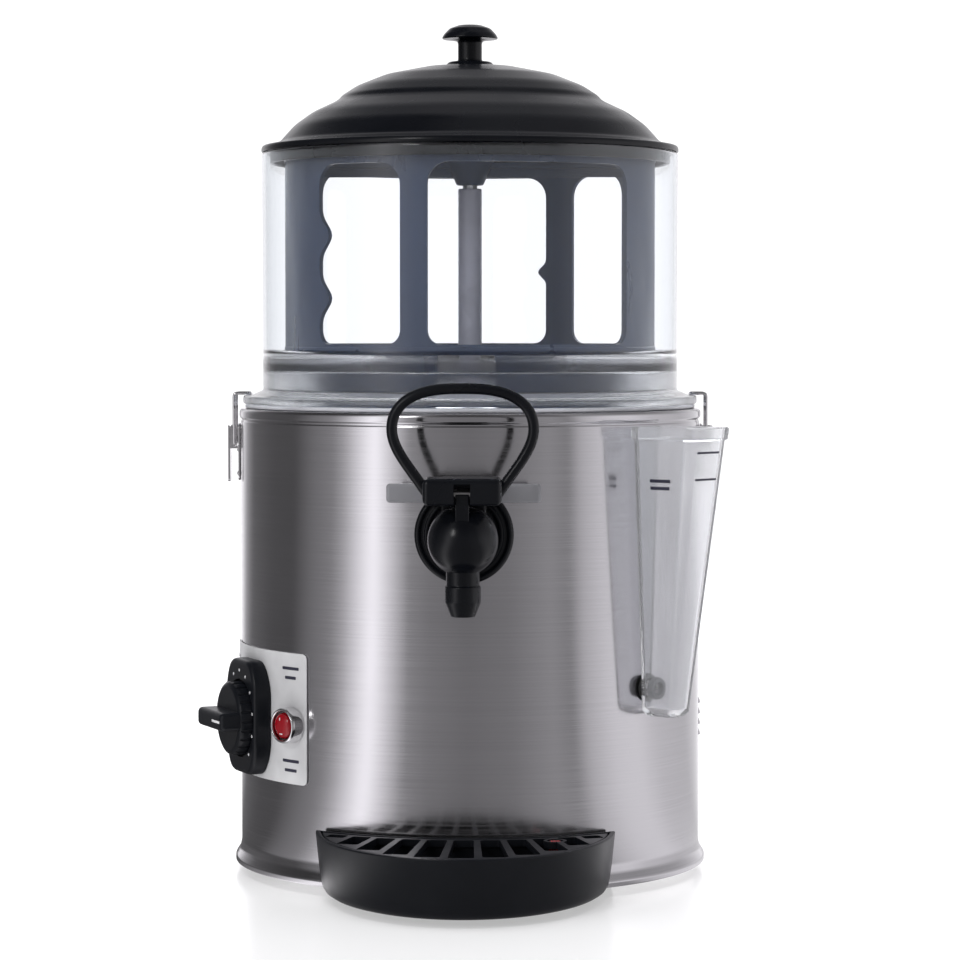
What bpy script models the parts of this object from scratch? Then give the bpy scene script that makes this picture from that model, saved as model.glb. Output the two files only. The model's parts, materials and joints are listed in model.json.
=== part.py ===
"""Countertop bain-marie dispenser for hot cheese sauce or chocolate, as an assembly of separate pieces.

Frame: +Z up, Z = 0 on the table, X = Y = 0 on the vessel's axis. The tap faces -Y. +X is the user's right.
Azimuths are in degrees from the front, positive towards +X, and "reach" is a distance from the axis.
"""

import math

import bmesh
import bpy
from mathutils import Matrix, Vector

# Driving dimensions, in metres.
SHELL_R = 0.140
SHELL_WALL = 0.0013
DECK_Z = 0.2815
BOWL_R = 0.1268
BOWL_WALL = 0.0028
BOWL_TOP = 0.4362
FLANGE_R = 0.1385
FLANGE_TOP = 0.2890
TANK_R = 0.1075
TANK_FLOOR = 0.1900
JACKET_R = 0.1260
JACKET_FLOOR = 0.1500
SHEET = 0.0013
MIXER_R = 0.1127
MIXER_WALL = 0.0025
MIXER_TOP = 0.4335
WINDOW_LOW = 0.3205
WINDOW_HIGH = 0.4262
COLUMN_R = 0.0072
COLUMN_TOP = 0.4150
SHAFT_R = 0.0045
LID_TOP = 0.4900
LID_RIM_Z = 0.4366
TAP_Z = 0.2125
VALVE_REACH = 0.1700
PIVOT_REACH = 0.1810
PIVOT_Z = 0.2375
CONTROLS_AZIMUTH = -65.0
CONTROLS_Z = 0.0980
SWITCHES = {"front": (-46.0, 0.0980), "rear": (-82.0, 0.1050)}
FILLER_AZIMUTH = 49.0
FILLER_LOW = 0.1040
FILLER_HIGH = 0.2730
FILLER_BACK = 0.1420
PIPE_Z = 0.1200
INLET_Z = 0.0350
LATCH_PIVOT_Z = 0.2690
LATCH_ARM = 0.0100
LATCH_REACH = 0.1440
LATCH_LOW = 0.2370
TRAY_CENTRE = 0.1100
TRAY_HALF = 0.0870
TRAY_DEPTH = 0.1120
TRAY_LOW = 0.0040
TRAY_HIGH = 0.0390
TRAY_LEDGE = 0.0343
GRID_TOP = 0.0386
FOOT_REACH = 0.1050
FOOT_HEIGHT = 0.0095
DRAIN_X = 0.0500
DRAIN_Z = 0.0450
GAP = 0.0003
ROUND = 36
SMALL = 16
TINY = 12


def clear_scene():
    for obj in list(bpy.data.objects):
        bpy.data.objects.remove(obj, do_unlink=True)


def new_collection(name):
    made = bpy.data.collections.new(name)
    bpy.context.scene.collection.children.link(made)
    return made


clear_scene()
PARTS = new_collection("sauce_dispenser")
TOOLS = new_collection("cutters")


def look(name, colour, roughness, metallic=0.0, alpha=1.0):
    made = bpy.data.materials.new(name)
    made.use_nodes = True
    shader = made.node_tree.nodes["Principled BSDF"]
    shader.inputs["Base Color"].default_value = (*colour, 1.0)
    shader.inputs["Roughness"].default_value = roughness
    shader.inputs["Metallic"].default_value = metallic
    shader.inputs["Alpha"].default_value = alpha
    return made


STEEL = look("brushed_steel", (0.56, 0.55, 0.54), 0.32, 1.0)
PLAIN_STEEL = look("plain_steel", (0.60, 0.60, 0.60), 0.40, 1.0)
BLACK = look("black_plastic", (0.012, 0.013, 0.016), 0.30)
GREY = look("grey_plastic", (0.16, 0.16, 0.17), 0.45)
CLEAR = look("clear_plastic", (0.93, 0.95, 0.97), 0.05, 0.0, 0.25)
SMOKE = look("smoky_plastic", (0.10, 0.14, 0.22), 0.25, 0.0, 0.80)
MILKY = look("milky_plastic", (0.70, 0.72, 0.80), 0.30, 0.0, 0.60)
RED = look("red_lamp", (0.35, 0.01, 0.02), 0.20)
LABEL = look("label_grey", (0.36, 0.36, 0.35), 0.45)
RUBBER = look("rubber", (0.03, 0.03, 0.03), 0.80)
SILICONE = look("silicone", (0.65, 0.65, 0.66), 0.60)
BRASS = look("brass", (0.60, 0.45, 0.20), 0.35, 1.0)
WIRE = look("wire_sheath", (0.30, 0.05, 0.04), 0.60)


def radial(azimuth, reach, height, side=0.0):
    """The point at this reach from the axis, moved sideways (counter-clockwise seen from above)."""
    a = math.radians(azimuth)
    along = Vector((math.sin(a), -math.cos(a), 0.0)) * reach
    across = Vector((math.cos(a), math.sin(a), 0.0)) * side
    return along + across + Vector((0.0, 0.0, height))


def place(name, data, material):
    """An object in the parts, or in the cutters where it has no material."""
    obj = bpy.data.objects.new(name, data)
    if material:
        data.materials.append(material)
        PARTS.objects.link(obj)
    else:
        obj.hide_render = True
        obj.display_type = "WIRE"
        TOOLS.objects.link(obj)
    return obj


def mesh_of(name, bm):
    bmesh.ops.recalc_face_normals(bm, faces=bm.faces)
    mesh = bpy.data.meshes.new(name)
    bm.to_mesh(mesh)
    bm.free()
    return mesh


def smooth(obj):
    obj.data.shade_smooth()
    obj.data.set_sharp_from_angle(angle=math.radians(35))
    return obj


def box(name, size, centre, material=None, azimuth=0.0):
    """A block of this size (across, along the reach, up), turned to face the azimuth."""
    bm = bmesh.new()
    bmesh.ops.create_cube(bm, size=1.0)
    bmesh.ops.scale(bm, vec=size, verts=bm.verts)
    obj = place(name, mesh_of(name, bm), material)
    obj.location = centre
    obj.rotation_euler = (0.0, 0.0, math.radians(azimuth))
    return obj


def rod(name, radius, start, end, material=None, sides=SMALL, end_radius=None):
    start = Vector(start)
    end = Vector(end)
    last = radius if end_radius is None else end_radius
    bm = bmesh.new()
    bmesh.ops.create_cone(
        bm, cap_ends=True, segments=sides, radius1=radius, radius2=last, depth=(end - start).length
    )
    obj = smooth(place(name, mesh_of(name, bm), material))
    obj.location = (start + end) / 2
    obj.rotation_euler = (end - start).to_track_quat("Z", "Y").to_euler()
    return obj


def spoke(name, radius, azimuth, start, end, height, material=None, sides=SMALL):
    """A rod that points straight away from the vessel's axis, from one reach to another."""
    return rod(name, radius, radial(azimuth, start, height), radial(azimuth, end, height), material, sides)


def cross_pin(name, radius, reach, half, height, material=None, sides=TINY):
    """A rod along X, at this reach in front of the vessel's axis."""
    return rod(name, radius, (-half, -reach, height), (half, -reach, height), material, sides)


def upright(name, radius, centre, low, high, material=None, sides=SMALL, top_radius=None):
    """A rod along Z over the centre's X and Y."""
    start = Vector((centre[0], centre[1], low))
    end = Vector((centre[0], centre[1], high))
    return rod(name, radius, start, end, material, sides, top_radius)


def ball(name, radius, centre):
    bm = bmesh.new()
    bmesh.ops.create_uvsphere(bm, u_segments=SMALL, v_segments=12, radius=radius)
    obj = smooth(place(name, mesh_of(name, bm), None))
    obj.location = centre
    obj.rotation_euler = (0.05, math.radians(90.0), 0.0)
    return obj


def turned(name, profile, material=None, sides=ROUND, frame=None):
    """A profile of (radius, height) turned about the frame's Z. It is open where it starts on the axis."""
    area = sum(a[0] * b[1] - b[0] * a[1] for a, b in zip(profile, profile[1:] + profile[:1]))
    points = profile if area < 0 else profile[::-1]
    count = len(points)
    on_axis = points[0][0] == 0.0
    edges = [(i, i + 1) for i in range(count - 1)]
    if not on_axis:
        edges.append((count - 1, 0))
    mesh = bpy.data.meshes.new(name)
    mesh.from_pydata([(r, 0.0, z) for r, z in points], edges, [])
    obj = place(name, mesh, material)
    screw = obj.modifiers.new("Turn", "SCREW")
    screw.angle = 2 * math.pi
    screw.steps = sides
    screw.render_steps = sides
    screw.use_merge_vertices = True
    screw.merge_threshold = 0.00001
    if frame:
        obj.parent = frame
    return obj


def arc_strip(name, inner, outer, low, high, start, end, material=None, steps=12):
    """A piece of a cylinder's wall between two azimuths."""
    mesh = bpy.data.meshes.new(name)
    first = radial(start, inner, low)
    mesh.from_pydata([first, first + Vector((0.0, 0.0, high - low))], [(0, 1)], [])
    obj = place(name, mesh, material)
    screw = obj.modifiers.new("Turn", "SCREW")
    screw.angle = math.radians(end - start)
    screw.steps = steps
    screw.render_steps = steps
    wall = obj.modifiers.new("Wall", "SOLIDIFY")
    wall.thickness = outer - inner
    wall.offset = -1.0
    return obj


def wire(name, points, radius, material=None, resolution=2):
    curve = bpy.data.curves.new(name, "CURVE")
    curve.dimensions = "3D"
    curve.bevel_depth = radius
    curve.bevel_resolution = resolution
    curve.use_fill_caps = True
    spline = curve.splines.new("POLY")
    spline.points.add(len(points) - 1)
    for point, co in zip(spline.points, points):
        point.co = (*co, 1.0)
    return place(name, curve, material)


def as_mesh(obj, material=None):
    """The curve as a mesh object of the same name, with its caps welded."""
    name = obj.name
    bpy.context.view_layer.update()
    solid = bpy.data.meshes.new_from_object(obj.evaluated_get(bpy.context.evaluated_depsgraph_get()))
    matrix = obj.matrix_world.copy()
    bpy.data.objects.remove(obj, do_unlink=True)
    bm = bmesh.new()
    bm.from_mesh(solid)
    bmesh.ops.remove_doubles(bm, verts=bm.verts, dist=0.000001)
    solid.materials.clear()
    bpy.data.meshes.remove(solid)
    made = place(name, mesh_of(name, bm), material)
    made.matrix_world = matrix
    return made


def combine(target, tool, operation):
    modifier = target.modifiers.new(operation.title(), "BOOLEAN")
    modifier.operation = operation
    modifier.object = tool
    return target


def carve(target, *tools):
    for tool in tools:
        combine(target, tool, "DIFFERENCE")
    return target


def fuse(target, *tools):
    for tool in tools:
        combine(target, tool, "UNION")
    return target


def soften(obj, width, segments=2):
    bevel = obj.modifiers.new("Bevel", "BEVEL")
    bevel.width = width
    bevel.segments = segments
    bevel.limit_method = "ANGLE"
    return obj


def axis_frame(name, azimuth, height, reach=0.0):
    """An empty whose Z points outwards at the azimuth, X across and Y up."""
    empty = bpy.data.objects.new(name, None)
    PARTS.objects.link(empty)
    empty.location = radial(azimuth, reach, height)
    empty.rotation_euler = (math.radians(90.0), 0.0, math.radians(azimuth))
    return empty


def move_origin(obj, point):
    """Puts a mesh's origin on its joint axis and leaves its shape where it is."""
    shift = Vector(point) - obj.location
    obj.data.transform(Matrix.Translation(-shift))
    obj.location = point
    return obj


def control_holes():
    """The azimuth, height and radius of each hole for a control, in the shell and in the label plate."""
    return [(CONTROLS_AZIMUTH, CONTROLS_Z, 0.0060)] + [(*spot, 0.0101) for spot in SWITCHES.values()]


def make_shell():
    inner = SHELL_R - SHELL_WALL
    bead = SHELL_R + 0.0008
    flare = SHELL_R + 0.0037
    profile = [
        (0.1290, DECK_Z),
        (SHELL_R - 0.0004, DECK_Z),
        (bead, DECK_Z - 0.0015),
        (bead, DECK_Z - 0.0055),
        (SHELL_R, DECK_Z - 0.0070),
        (SHELL_R, 0.0160),
        (flare, 0.0100),
        (flare, 0.0058),
        (flare - SHELL_WALL, 0.0058),
        (flare - SHELL_WALL, 0.0095),
        (inner, 0.0155),
        (inner, DECK_Z - SHELL_WALL),
        (0.1290, DECK_Z - SHELL_WALL),
    ]
    shell = turned("outer_shell", profile, STEEL)
    carve(shell, spoke("tap_hole", 0.0152, 0, 0.130, 0.150, TAP_Z))
    for azimuth, height, radius in control_holes():
        carve(shell, spoke("control_hole", radius, azimuth, 0.130, 0.150, height))
    carve(shell, spoke("pipe_hole", 0.0056, FILLER_AZIMUTH, 0.130, 0.150, PIPE_Z))
    carve(shell, rod("drain_hole", 0.0056, (DRAIN_X, 0.12, DRAIN_Z), (DRAIN_X, 0.15, DRAIN_Z)))
    carve(shell, spoke("inlet_hole", 0.0086, 180, 0.130, 0.150, INLET_Z))
    for azimuth in (98.0, -98.0):
        for row in range(4):
            centre = radial(azimuth, SHELL_R, 0.0820 + 0.0065 * row)
            carve(shell, box("louvre", (0.044, 0.024, 0.0024), centre, None, azimuth))
    for side in (-1, 1):
        carve(shell, box("tray_slot", (0.0110, 0.020, 0.0050), (side * 0.030, -0.1370, 0.0220)))


def make_base():
    rim = SHELL_R - SHELL_WALL - 0.0007
    low = FOOT_HEIGHT + GAP
    profile = [
        (rim - SHEET, 0.0190),
        (rim, 0.0190),
        (rim, low),
        (0.0500, low),
        (0.0500, low + SHEET),
        (rim - SHEET, low + SHEET),
    ]
    turned("base_pan", profile, PLAIN_STEEL)
    cover = [
        (0.0, 0.0045),
        (0.0560, 0.0045),
        (0.0560, FOOT_HEIGHT),
        (0.0580, FOOT_HEIGHT),
        (0.0580, 0.0025),
        (0.0, 0.0025),
    ]
    turned("bottom_cover", cover, BLACK)
    for index in range(4):
        centre = radial(45.0 + 90.0 * index, FOOT_REACH, 0.0)
        top = centre + Vector((0.0, 0.0, FOOT_HEIGHT))
        rod(f"foot_{index + 1}", 0.0110, centre, top, RUBBER, SMALL, 0.0125)


def outlet_hole(radius, start):
    return spoke("outlet_hole", radius, 0, start, 0.150, TAP_Z)


def heater_legs():
    return [(-0.012, 0.0842), (0.012, 0.0842)]


def make_tank():
    top = DECK_Z - 0.0007
    wall = TANK_R + SHEET
    profile = [
        (TANK_R, top),
        (0.1284, top),
        (0.1284, top - SHEET),
        (wall, top - SHEET),
        (wall, TANK_FLOOR - SHEET),
        (0.0160, TANK_FLOOR - SHEET),
        (0.0160, 0.1440),
        (0.0125, 0.1440),
        (0.0125, TANK_FLOOR),
        (TANK_R, TANK_FLOOR),
    ]
    tank = turned("product_tank", profile, PLAIN_STEEL)
    fuse(tank, spoke("outlet_tube", 0.0143, 0, 0.1078, 0.1412, TAP_Z))
    carve(tank, outlet_hole(0.0127, 0.100))

    wall = JACKET_R - SHEET
    profile = [
        (wall, 0.2785),
        (0.1282, 0.2785),
        (0.1282, 0.2773),
        (JACKET_R, 0.2773),
        (JACKET_R, JACKET_FLOOR),
        (0.0168, JACKET_FLOOR),
        (0.0168, JACKET_FLOOR + SHEET),
        (wall, JACKET_FLOOR + SHEET),
    ]
    jacket = turned("water_jacket", profile, PLAIN_STEEL)
    carve(jacket, outlet_hole(0.0150, 0.115))
    low = JACKET_FLOOR - 0.003
    high = JACKET_FLOOR + 0.004
    for x, y in heater_legs():
        carve(jacket, upright("leg_hole", 0.0045, (x, y), low, high, None, TINY))
    ports = ((CONTROLS_AZIMUTH, 0.095, 0.0018), (FILLER_AZIMUTH, 0.112, 0.0035))
    for azimuth, reach, radius in ports:
        carve(jacket, upright("port", radius, radial(azimuth, reach, 0.0), low, high, None, TINY))
    carve(jacket, upright("drain_port", 0.0035, (DRAIN_X, 0.095), low, high, None, TINY))

    gasket = [(0.1090, 0.2838), (0.1372, 0.2838), (0.1372, DECK_Z + GAP), (0.1090, DECK_Z + GAP)]
    turned("bowl_gasket", gasket, SILICONE)


def make_heater():
    """A tube bent nearly once round in the water, with both ends down through the jacket's floor."""
    reach = 0.085
    height = 0.168
    turns = 26
    start = math.asin(heater_legs()[1][0] / reach)
    ring = []
    for i in range(turns + 1):
        a = start + (2 * math.pi - 2 * start) * i / turns
        ring.append((math.sin(a) * reach, math.cos(a) * reach, height))
    first = [(ring[0][0], ring[0][1], 0.138), (ring[0][0], ring[0][1], height - 0.006)]
    last = [(ring[-1][0], ring[-1][1], height - 0.006), (ring[-1][0], ring[-1][1], 0.138)]
    wire("heater_ring", first + ring + last, 0.0040, PLAIN_STEEL)


def make_bowl():
    inner = BOWL_R - BOWL_WALL
    profile = [
        (inner, BOWL_TOP),
        (BOWL_R, BOWL_TOP),
        (BOWL_R - 0.0005, FLANGE_TOP + 0.0005),
        (FLANGE_R, FLANGE_TOP),
        (FLANGE_R, 0.2842),
        (inner - 0.0003, 0.2842),
        (inner - 0.0003, 0.3045),
        (0.1205, 0.3045),
        (0.1085, 0.2905),
        (0.1060, 0.2865),
        (0.1060, 0.2700),
        (0.1035, 0.2700),
        (0.1035, 0.2885),
        (0.1062, 0.2935),
        (0.1200, 0.3110),
        (inner - 0.0003, 0.3155),
    ]
    turned("bowl", profile, CLEAR)


def make_drive():
    column = [
        (0.0050, COLUMN_TOP),
        (COLUMN_R, COLUMN_TOP),
        (COLUMN_R, 0.1950),
        (0.0180, 0.1940),
        (0.0180, TANK_FLOOR + 0.0004),
        (0.0120, TANK_FLOOR + 0.0004),
        (0.0120, 0.1560),
        (0.0050, 0.1560),
    ]
    turned("centre_column", column, MILKY, SMALL)
    seal = [(0.0052, 0.1556), (0.0120, 0.1556), (0.0120, 0.1480), (0.0052, 0.1480)]
    turned("shaft_seal", seal, RUBBER, SMALL)
    rod("drive_shaft", SHAFT_R, (0, 0, 0.1290), (0, 0, 0.4240), PLAIN_STEEL, SMALL)
    coupling = [
        (0.0, 0.1270),
        (0.0049, 0.1270),
        (0.0049, 0.1400),
        (0.0090, 0.1400),
        (0.0090, 0.1205),
        (0.0040, 0.1205),
        (0.0040, 0.1060),
        (0.0, 0.1060),
    ]
    turned("shaft_coupling", coupling, BRASS, SMALL)

    gearbox = box("gearbox", (0.070, 0.056, 0.0270), (0, 0, 0.1043), GREY)
    carve(gearbox, rod("gearbox_bore", 0.0044, (0, 0, 0.1040), (0, 0, 0.1300)))
    rod("gearmotor", 0.0250, (0, 0, 0.0360), (0, 0, 0.0905), PLAIN_STEEL)
    bracket = box("motor_bracket", (0.1400, 0.050, 0.0016), (0, 0, 0.1190), PLAIN_STEEL)
    carve(bracket, rod("bracket_hole", 0.0120, (0, 0, 0.110), (0, 0, 0.130)))
    for side in (-1, 1):
        fuse(bracket, box("bracket_leg", (0.0016, 0.0499, 0.0312), (side * 0.0692, 0, 0.1338)))
        fuse(bracket, box("bracket_toe", (0.0150, 0.0498, 0.0015), (side * 0.0760, 0, 0.14875)))


MIXER_POSTS = ((-121.0, -50.0), (-19.6, -11.3), (56.0, 121.0), (145.0, 155.0))


def mixer_windows():
    """The azimuths between one post and the next."""
    ends = [*MIXER_POSTS[1:], (MIXER_POSTS[0][0] + 360.0, 0.0)]
    return [(post[1], following[0]) for post, following in zip(MIXER_POSTS, ends)]


def make_mixer():
    inner = MIXER_R - MIXER_WALL
    profile = [
        (inner, MIXER_TOP),
        (MIXER_R, MIXER_TOP),
        (MIXER_R, 0.3165),
        (0.0985, 0.3040),
        (0.0925, 0.2880),
        (0.0902, 0.2880),
        (0.0962, 0.3050),
        (inner, 0.3175),
    ]
    mixer = turned("mixer", profile, SMOKE)
    near = inner - 0.012
    far = MIXER_R + 0.012
    for start, end in mixer_windows():
        steps = max(3, round((end - start) / 7.5))
        pane = arc_strip("window", near, far, WINDOW_LOW, WINDOW_HIGH, start, end, None, steps)
        carve(mixer, soften(pane, 0.006))
    carve(mixer, box("skirt_window", (0.034, 0.060, 0.010), radial(0, 0.094, 0.2985)))
    for azimuth in (-90.0, 90.0):
        reach = (inner + 0.006) / 2
        arm = box("arm", (0.010, inner - 0.004, 0.0040), radial(azimuth, reach, 0.4292), None, azimuth)
        foot = arc_strip("paddle", 0.0907, 0.0920, 0.1960, 0.2900, azimuth - 18, azimuth + 18, None, 4)
        fuse(mixer, arm, foot)
    hub = turned("hub", [(0.0, 0.4330), (0.0145, 0.4330), (0.0078, 0.4170), (0.0, 0.4170)], None, SMALL)
    fuse(mixer, hub)
    carve(mixer, upright("hub_bore", 0.0050, (0, 0), 0.410, 0.4250))


def lid_outline():
    """The lid's top from its middle to its rim: a shallow crown, a step, and a round shoulder."""
    crown = [(0.0280, 0.4886), (0.0520, 0.4838), (0.0690, 0.4770), (0.0780, 0.4710)]
    shoulder = [(0.0832, 0.4668), (0.0960, 0.4606), (0.1070, 0.4529), (0.1145, 0.4446), (0.1230, 0.4414)]
    return crown + shoulder


def make_lid():
    thick = 0.0026
    boss = 0.0140
    rim = BOWL_R + 0.0002
    skirt = 0.1218
    outline = lid_outline()
    top = [(0.0030, LID_TOP + 0.0020), (boss, LID_TOP + 0.0015), *outline]
    edge = [
        (rim, LID_RIM_Z + 0.0030),
        (rim, LID_RIM_Z),
        (skirt, LID_RIM_Z),
        (skirt, 0.4295),
        (skirt - 0.0022, 0.4295),
        (skirt - 0.0022, 0.4390),
    ]
    under = [(r - 0.0010, z - thick) for r, z in outline[:-1]][::-1]
    turned("lid", top + edge + under + [(0.0030, LID_TOP - thick)], BLACK)
    knob = [
        (0.0026, LID_TOP + 0.0024),
        (0.0026, 0.5040),
        (0.0, 0.5040),
    ]
    outside = [
        (0.0, 0.5145),
        (0.0100, 0.5138),
        (0.0150, 0.5110),
        (0.0165, 0.5075),
        (0.0145, 0.5052),
        (0.0085, 0.5040),
        (0.0075, 0.5015),
        (0.0075, LID_TOP + 0.0024),
    ]
    turned("lid_knob", outside + knob, BLACK, SMALL)
    screw = [
        (0.0, 0.5020),
        (0.0021, 0.5020),
        (0.0021, LID_TOP - thick - 0.0006),
        (0.0050, LID_TOP - thick - 0.0006),
        (0.0042, LID_TOP - thick - 0.0034),
        (0.0, LID_TOP - thick - 0.0034),
    ]
    turned("lid_screw", screw, PLAIN_STEEL, TINY)


def make_tap_body():
    valve = radial(0, VALVE_REACH, 0.0)
    tap = axis_frame("tap_axis", 0.0, TAP_Z)
    shank = [
        (0.0, 0.1640),
        (0.0115, 0.1640),
        (0.0115, 0.1214),
        (0.0102, 0.1214),
        (0.0102, 0.1176),
        (0.0115, 0.1176),
        (0.0115, 0.1100),
        (0.0, 0.1100),
    ]
    body = turned("tap_body", shank, BLACK, SMALL, tap)
    fuse(body, ball("tap_ball", 0.0200, valve + Vector((0, 0, TAP_Z - 0.0015))))
    fuse(body, upright("neck", 0.0112, valve, TAP_Z, 0.2280))
    fuse(body, upright("spout", 0.0099, valve, 0.1760, 0.2050))
    fuse(body, upright("nozzle", 0.0066, valve, 0.1680, 0.1764, None, SMALL, 0.0096))
    fuse(body, box("bar_lug", (0.0250, 0.0110, 0.0380), radial(0, 0.1508, 0.2272)))
    fuse(body, box("pivot_lug", (0.0076, 0.0100, 0.0270), radial(0, PIVOT_REACH, PIVOT_Z - 0.0135)))
    fuse(body, cross_pin("lug_end", 0.0052, PIVOT_REACH, 0.0036, PIVOT_Z, None, SMALL))
    carve(body, upright("chamber", 0.0078, valve, 0.1880, 0.2400))
    carve(body, upright("outlet", 0.0042, valve, 0.1600, 0.1900, None, TINY))
    carve(body, spoke("feed", 0.0062, 0, 0.100, VALVE_REACH, TAP_Z))
    carve(body, cross_pin("pin_hole", 0.0024, PIVOT_REACH, 0.0100, PIVOT_Z))
    carve(body, box("bar_slot", (0.0400, 0.0058, 0.0118), radial(0, 0.1490, 0.2365)))

    ring = [(0.0105, 0.1210), (0.0121, 0.1210), (0.0121, 0.1180), (0.0105, 0.1180)]
    turned("tap_gasket", ring, RUBBER, SMALL, tap)
    bonnet = [
        (0.0034, 0.2296),
        (0.0066, 0.2296),
        (0.0074, 0.2288),
        (0.0074, 0.2240),
        (0.0034, 0.2240),
    ]
    turned("tap_bonnet", bonnet, GREY, SMALL).location = valve
    back = SHELL_R + 0.0004
    rings = [
        (0.0280, back),
        (0.0280, back + 0.0020),
        (0.0262, back + 0.0038),
        (0.0225, back + 0.0038),
        (0.0210, back + 0.0028),
        (0.0185, back + 0.0028),
        (0.0170, back + 0.0044),
        (0.0152, back + 0.0044),
        (0.0152, back),
    ]
    escutcheon = turned("tap_escutcheon", rings, BLACK, SMALL, tap)
    carve(escutcheon, box("lug_gap", (0.0260, 0.0200, 0.0300), radial(0, 0.1490, 0.2360)))
    bar = soften(box("tap_lock_bar", (0.0880, 0.0050, 0.0110), radial(0, 0.1490, 0.2365), GREY), 0.0012)
    move_origin(bar, radial(0, 0.1490, 0.2365))


def make_plunger():
    valve = radial(0, VALVE_REACH, 0.0)
    plunger = [
        (0.0, 0.2400),
        (0.0060, 0.2400),
        (0.0060, 0.2350),
        (0.0028, 0.2350),
        (0.0028, 0.1930),
        (0.0056, 0.1930),
        (0.0056, 0.1903),
        (0.0, 0.1903),
    ]
    turned("tap_plunger", plunger, GREY, SMALL).location = valve
    upright("plunger_seal", 0.0056, valve, 0.1884, 0.1900, RUBBER)
    turns = 6
    per_turn = 8
    low = 0.1938
    high = 0.2232
    coil = []
    for i in range(turns * per_turn + 1):
        a = 2 * math.pi * i / per_turn
        z = low + (high - low) * i / (turns * per_turn)
        coil.append(valve + Vector((0.0042 * math.cos(a), 0.0042 * math.sin(a), z)))
    wire("tap_spring", coil, 0.0005, PLAIN_STEEL, 0)


def loop_line():
    """The handle's centre line: a rounded loop that narrows to the block."""
    half = [
        (0.0, 0.2961),
        (0.0130, 0.2957),
        (0.0240, 0.2928),
        (0.0335, 0.2868),
        (0.0385, 0.2785),
        (0.0392, 0.2695),
        (0.0360, 0.2600),
        (0.0295, 0.2500),
        (0.0238, 0.2428),
        (0.0200, 0.2375),
        (0.0172, 0.2338),
    ]
    left = [(-x, z) for x, z in half[1:]][::-1]
    return [Vector((x, -0.1720, z)) for x, z in left + half]


def make_handle():
    pivot = radial(0, PIVOT_REACH, PIVOT_Z)
    block = box("tap_handle", (0.0440, 0.0315, 0.0150), radial(0, 0.1757, 0.2390), BLACK)
    move_origin(block, pivot)
    soften(block, 0.0030)
    fuse(block, as_mesh(wire("loop", loop_line(), 0.0029)))
    slot_top = PIVOT_Z + 0.0060
    carve(block, box("lug_slot", (0.0092, 0.0500, 0.0400), radial(0, 0.1757, slot_top - 0.0200)))
    carve(block, box("neck_slot", (0.0250, 0.0400, 0.0400), radial(0, 0.1580, slot_top - 0.0202)))
    carve(block, cross_pin("pin_bore", 0.0023, PIVOT_REACH, 0.0206, PIVOT_Z))
    cross_pin("handle_pin", 0.0020, PIVOT_REACH, 0.0200, PIVOT_Z, PLAIN_STEEL)


def make_controls():
    low = 0.0630
    high = 0.1400
    near = SHELL_R + 0.0004
    plate = arc_strip("control_plate", near, near + 0.0008, low, high, -88.6, -41.0, LABEL, 16)
    for azimuth, height, radius in control_holes():
        carve(plate, spoke("plate_hole", radius, azimuth, 0.130, 0.150, height))

    at = CONTROLS_AZIMUTH
    back = 0.1330
    face = 0.1500
    centre = radial(at, (back + face) / 2, 0.0990)
    housing = box("thermostat_housing", (0.0500, face - back, 0.0680), centre, BLACK, at)
    soften(housing, 0.0035)
    behind = SHELL_R + 0.0016
    drum = turned("drum", [(0.0, 0.16), (behind, 0.16), (behind, 0.04), (0.0, 0.04)], None, 72)
    carve(housing, drum)
    carve(housing, spoke("dial_recess", 0.0232, at, 0.1475, 0.160, CONTROLS_Z, None, ROUND))
    carve(housing, spoke("spindle_hole", 0.0060, at, 0.130, 0.160, CONTROLS_Z))

    dial = axis_frame("dial_axis", at, CONTROLS_Z)
    knob = [
        (0.0, 0.1575),
        (0.0200, 0.1575),
        (0.0220, 0.1555),
        (0.0220, 0.1480),
        (0.0040, 0.1480),
        (0.0040, 0.1280),
        (0.0, 0.1280),
    ]
    knob = turned("thermostat_knob", knob, BLACK, ROUND, dial)
    ridge = box("ridge", (0.0430, 0.0140, 0.0110), radial(at, 0.1625, CONTROLS_Z), None, at)
    fuse(knob, soften(ridge, 0.0020))
    body = [(0.0, 0.1355), (0.0170, 0.1355), (0.0170, 0.1130), (0.0, 0.1130)]
    body = turned("thermostat_body", body, GREY, SMALL, dial)
    carve(body, spoke("body_bore", 0.0046, at, 0.1270, 0.140, CONTROLS_Z))

    for label, (azimuth, height) in SWITCHES.items():
        make_switch(label, azimuth, height)


def make_switch(label, azimuth, height):
    axis = axis_frame(f"switch_axis_{label}", azimuth, height)
    bezel = [
        (0.0, 0.1195),
        (0.0086, 0.1195),
        (0.0086, 0.1500),
        (0.0105, 0.1485),
        (0.0105, 0.1416),
        (0.0095, 0.1416),
        (0.0095, 0.1180),
        (0.0, 0.1180),
    ]
    turned(f"switch_bezel_{label}", bezel, PLAIN_STEEL, SMALL, axis)
    pivot = axis_frame(f"rocker_pivot_{label}", azimuth, height, 0.1460)
    pivot.rotation_euler.x += math.radians(6.0)
    rocker = [(0.0, 0.0050), (0.0045, 0.0046), (0.0073, 0.0030), (0.0076, 0.0), (0.0, 0.0)]
    turned(f"switch_rocker_{label}", rocker, RED, SMALL, pivot)


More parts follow.
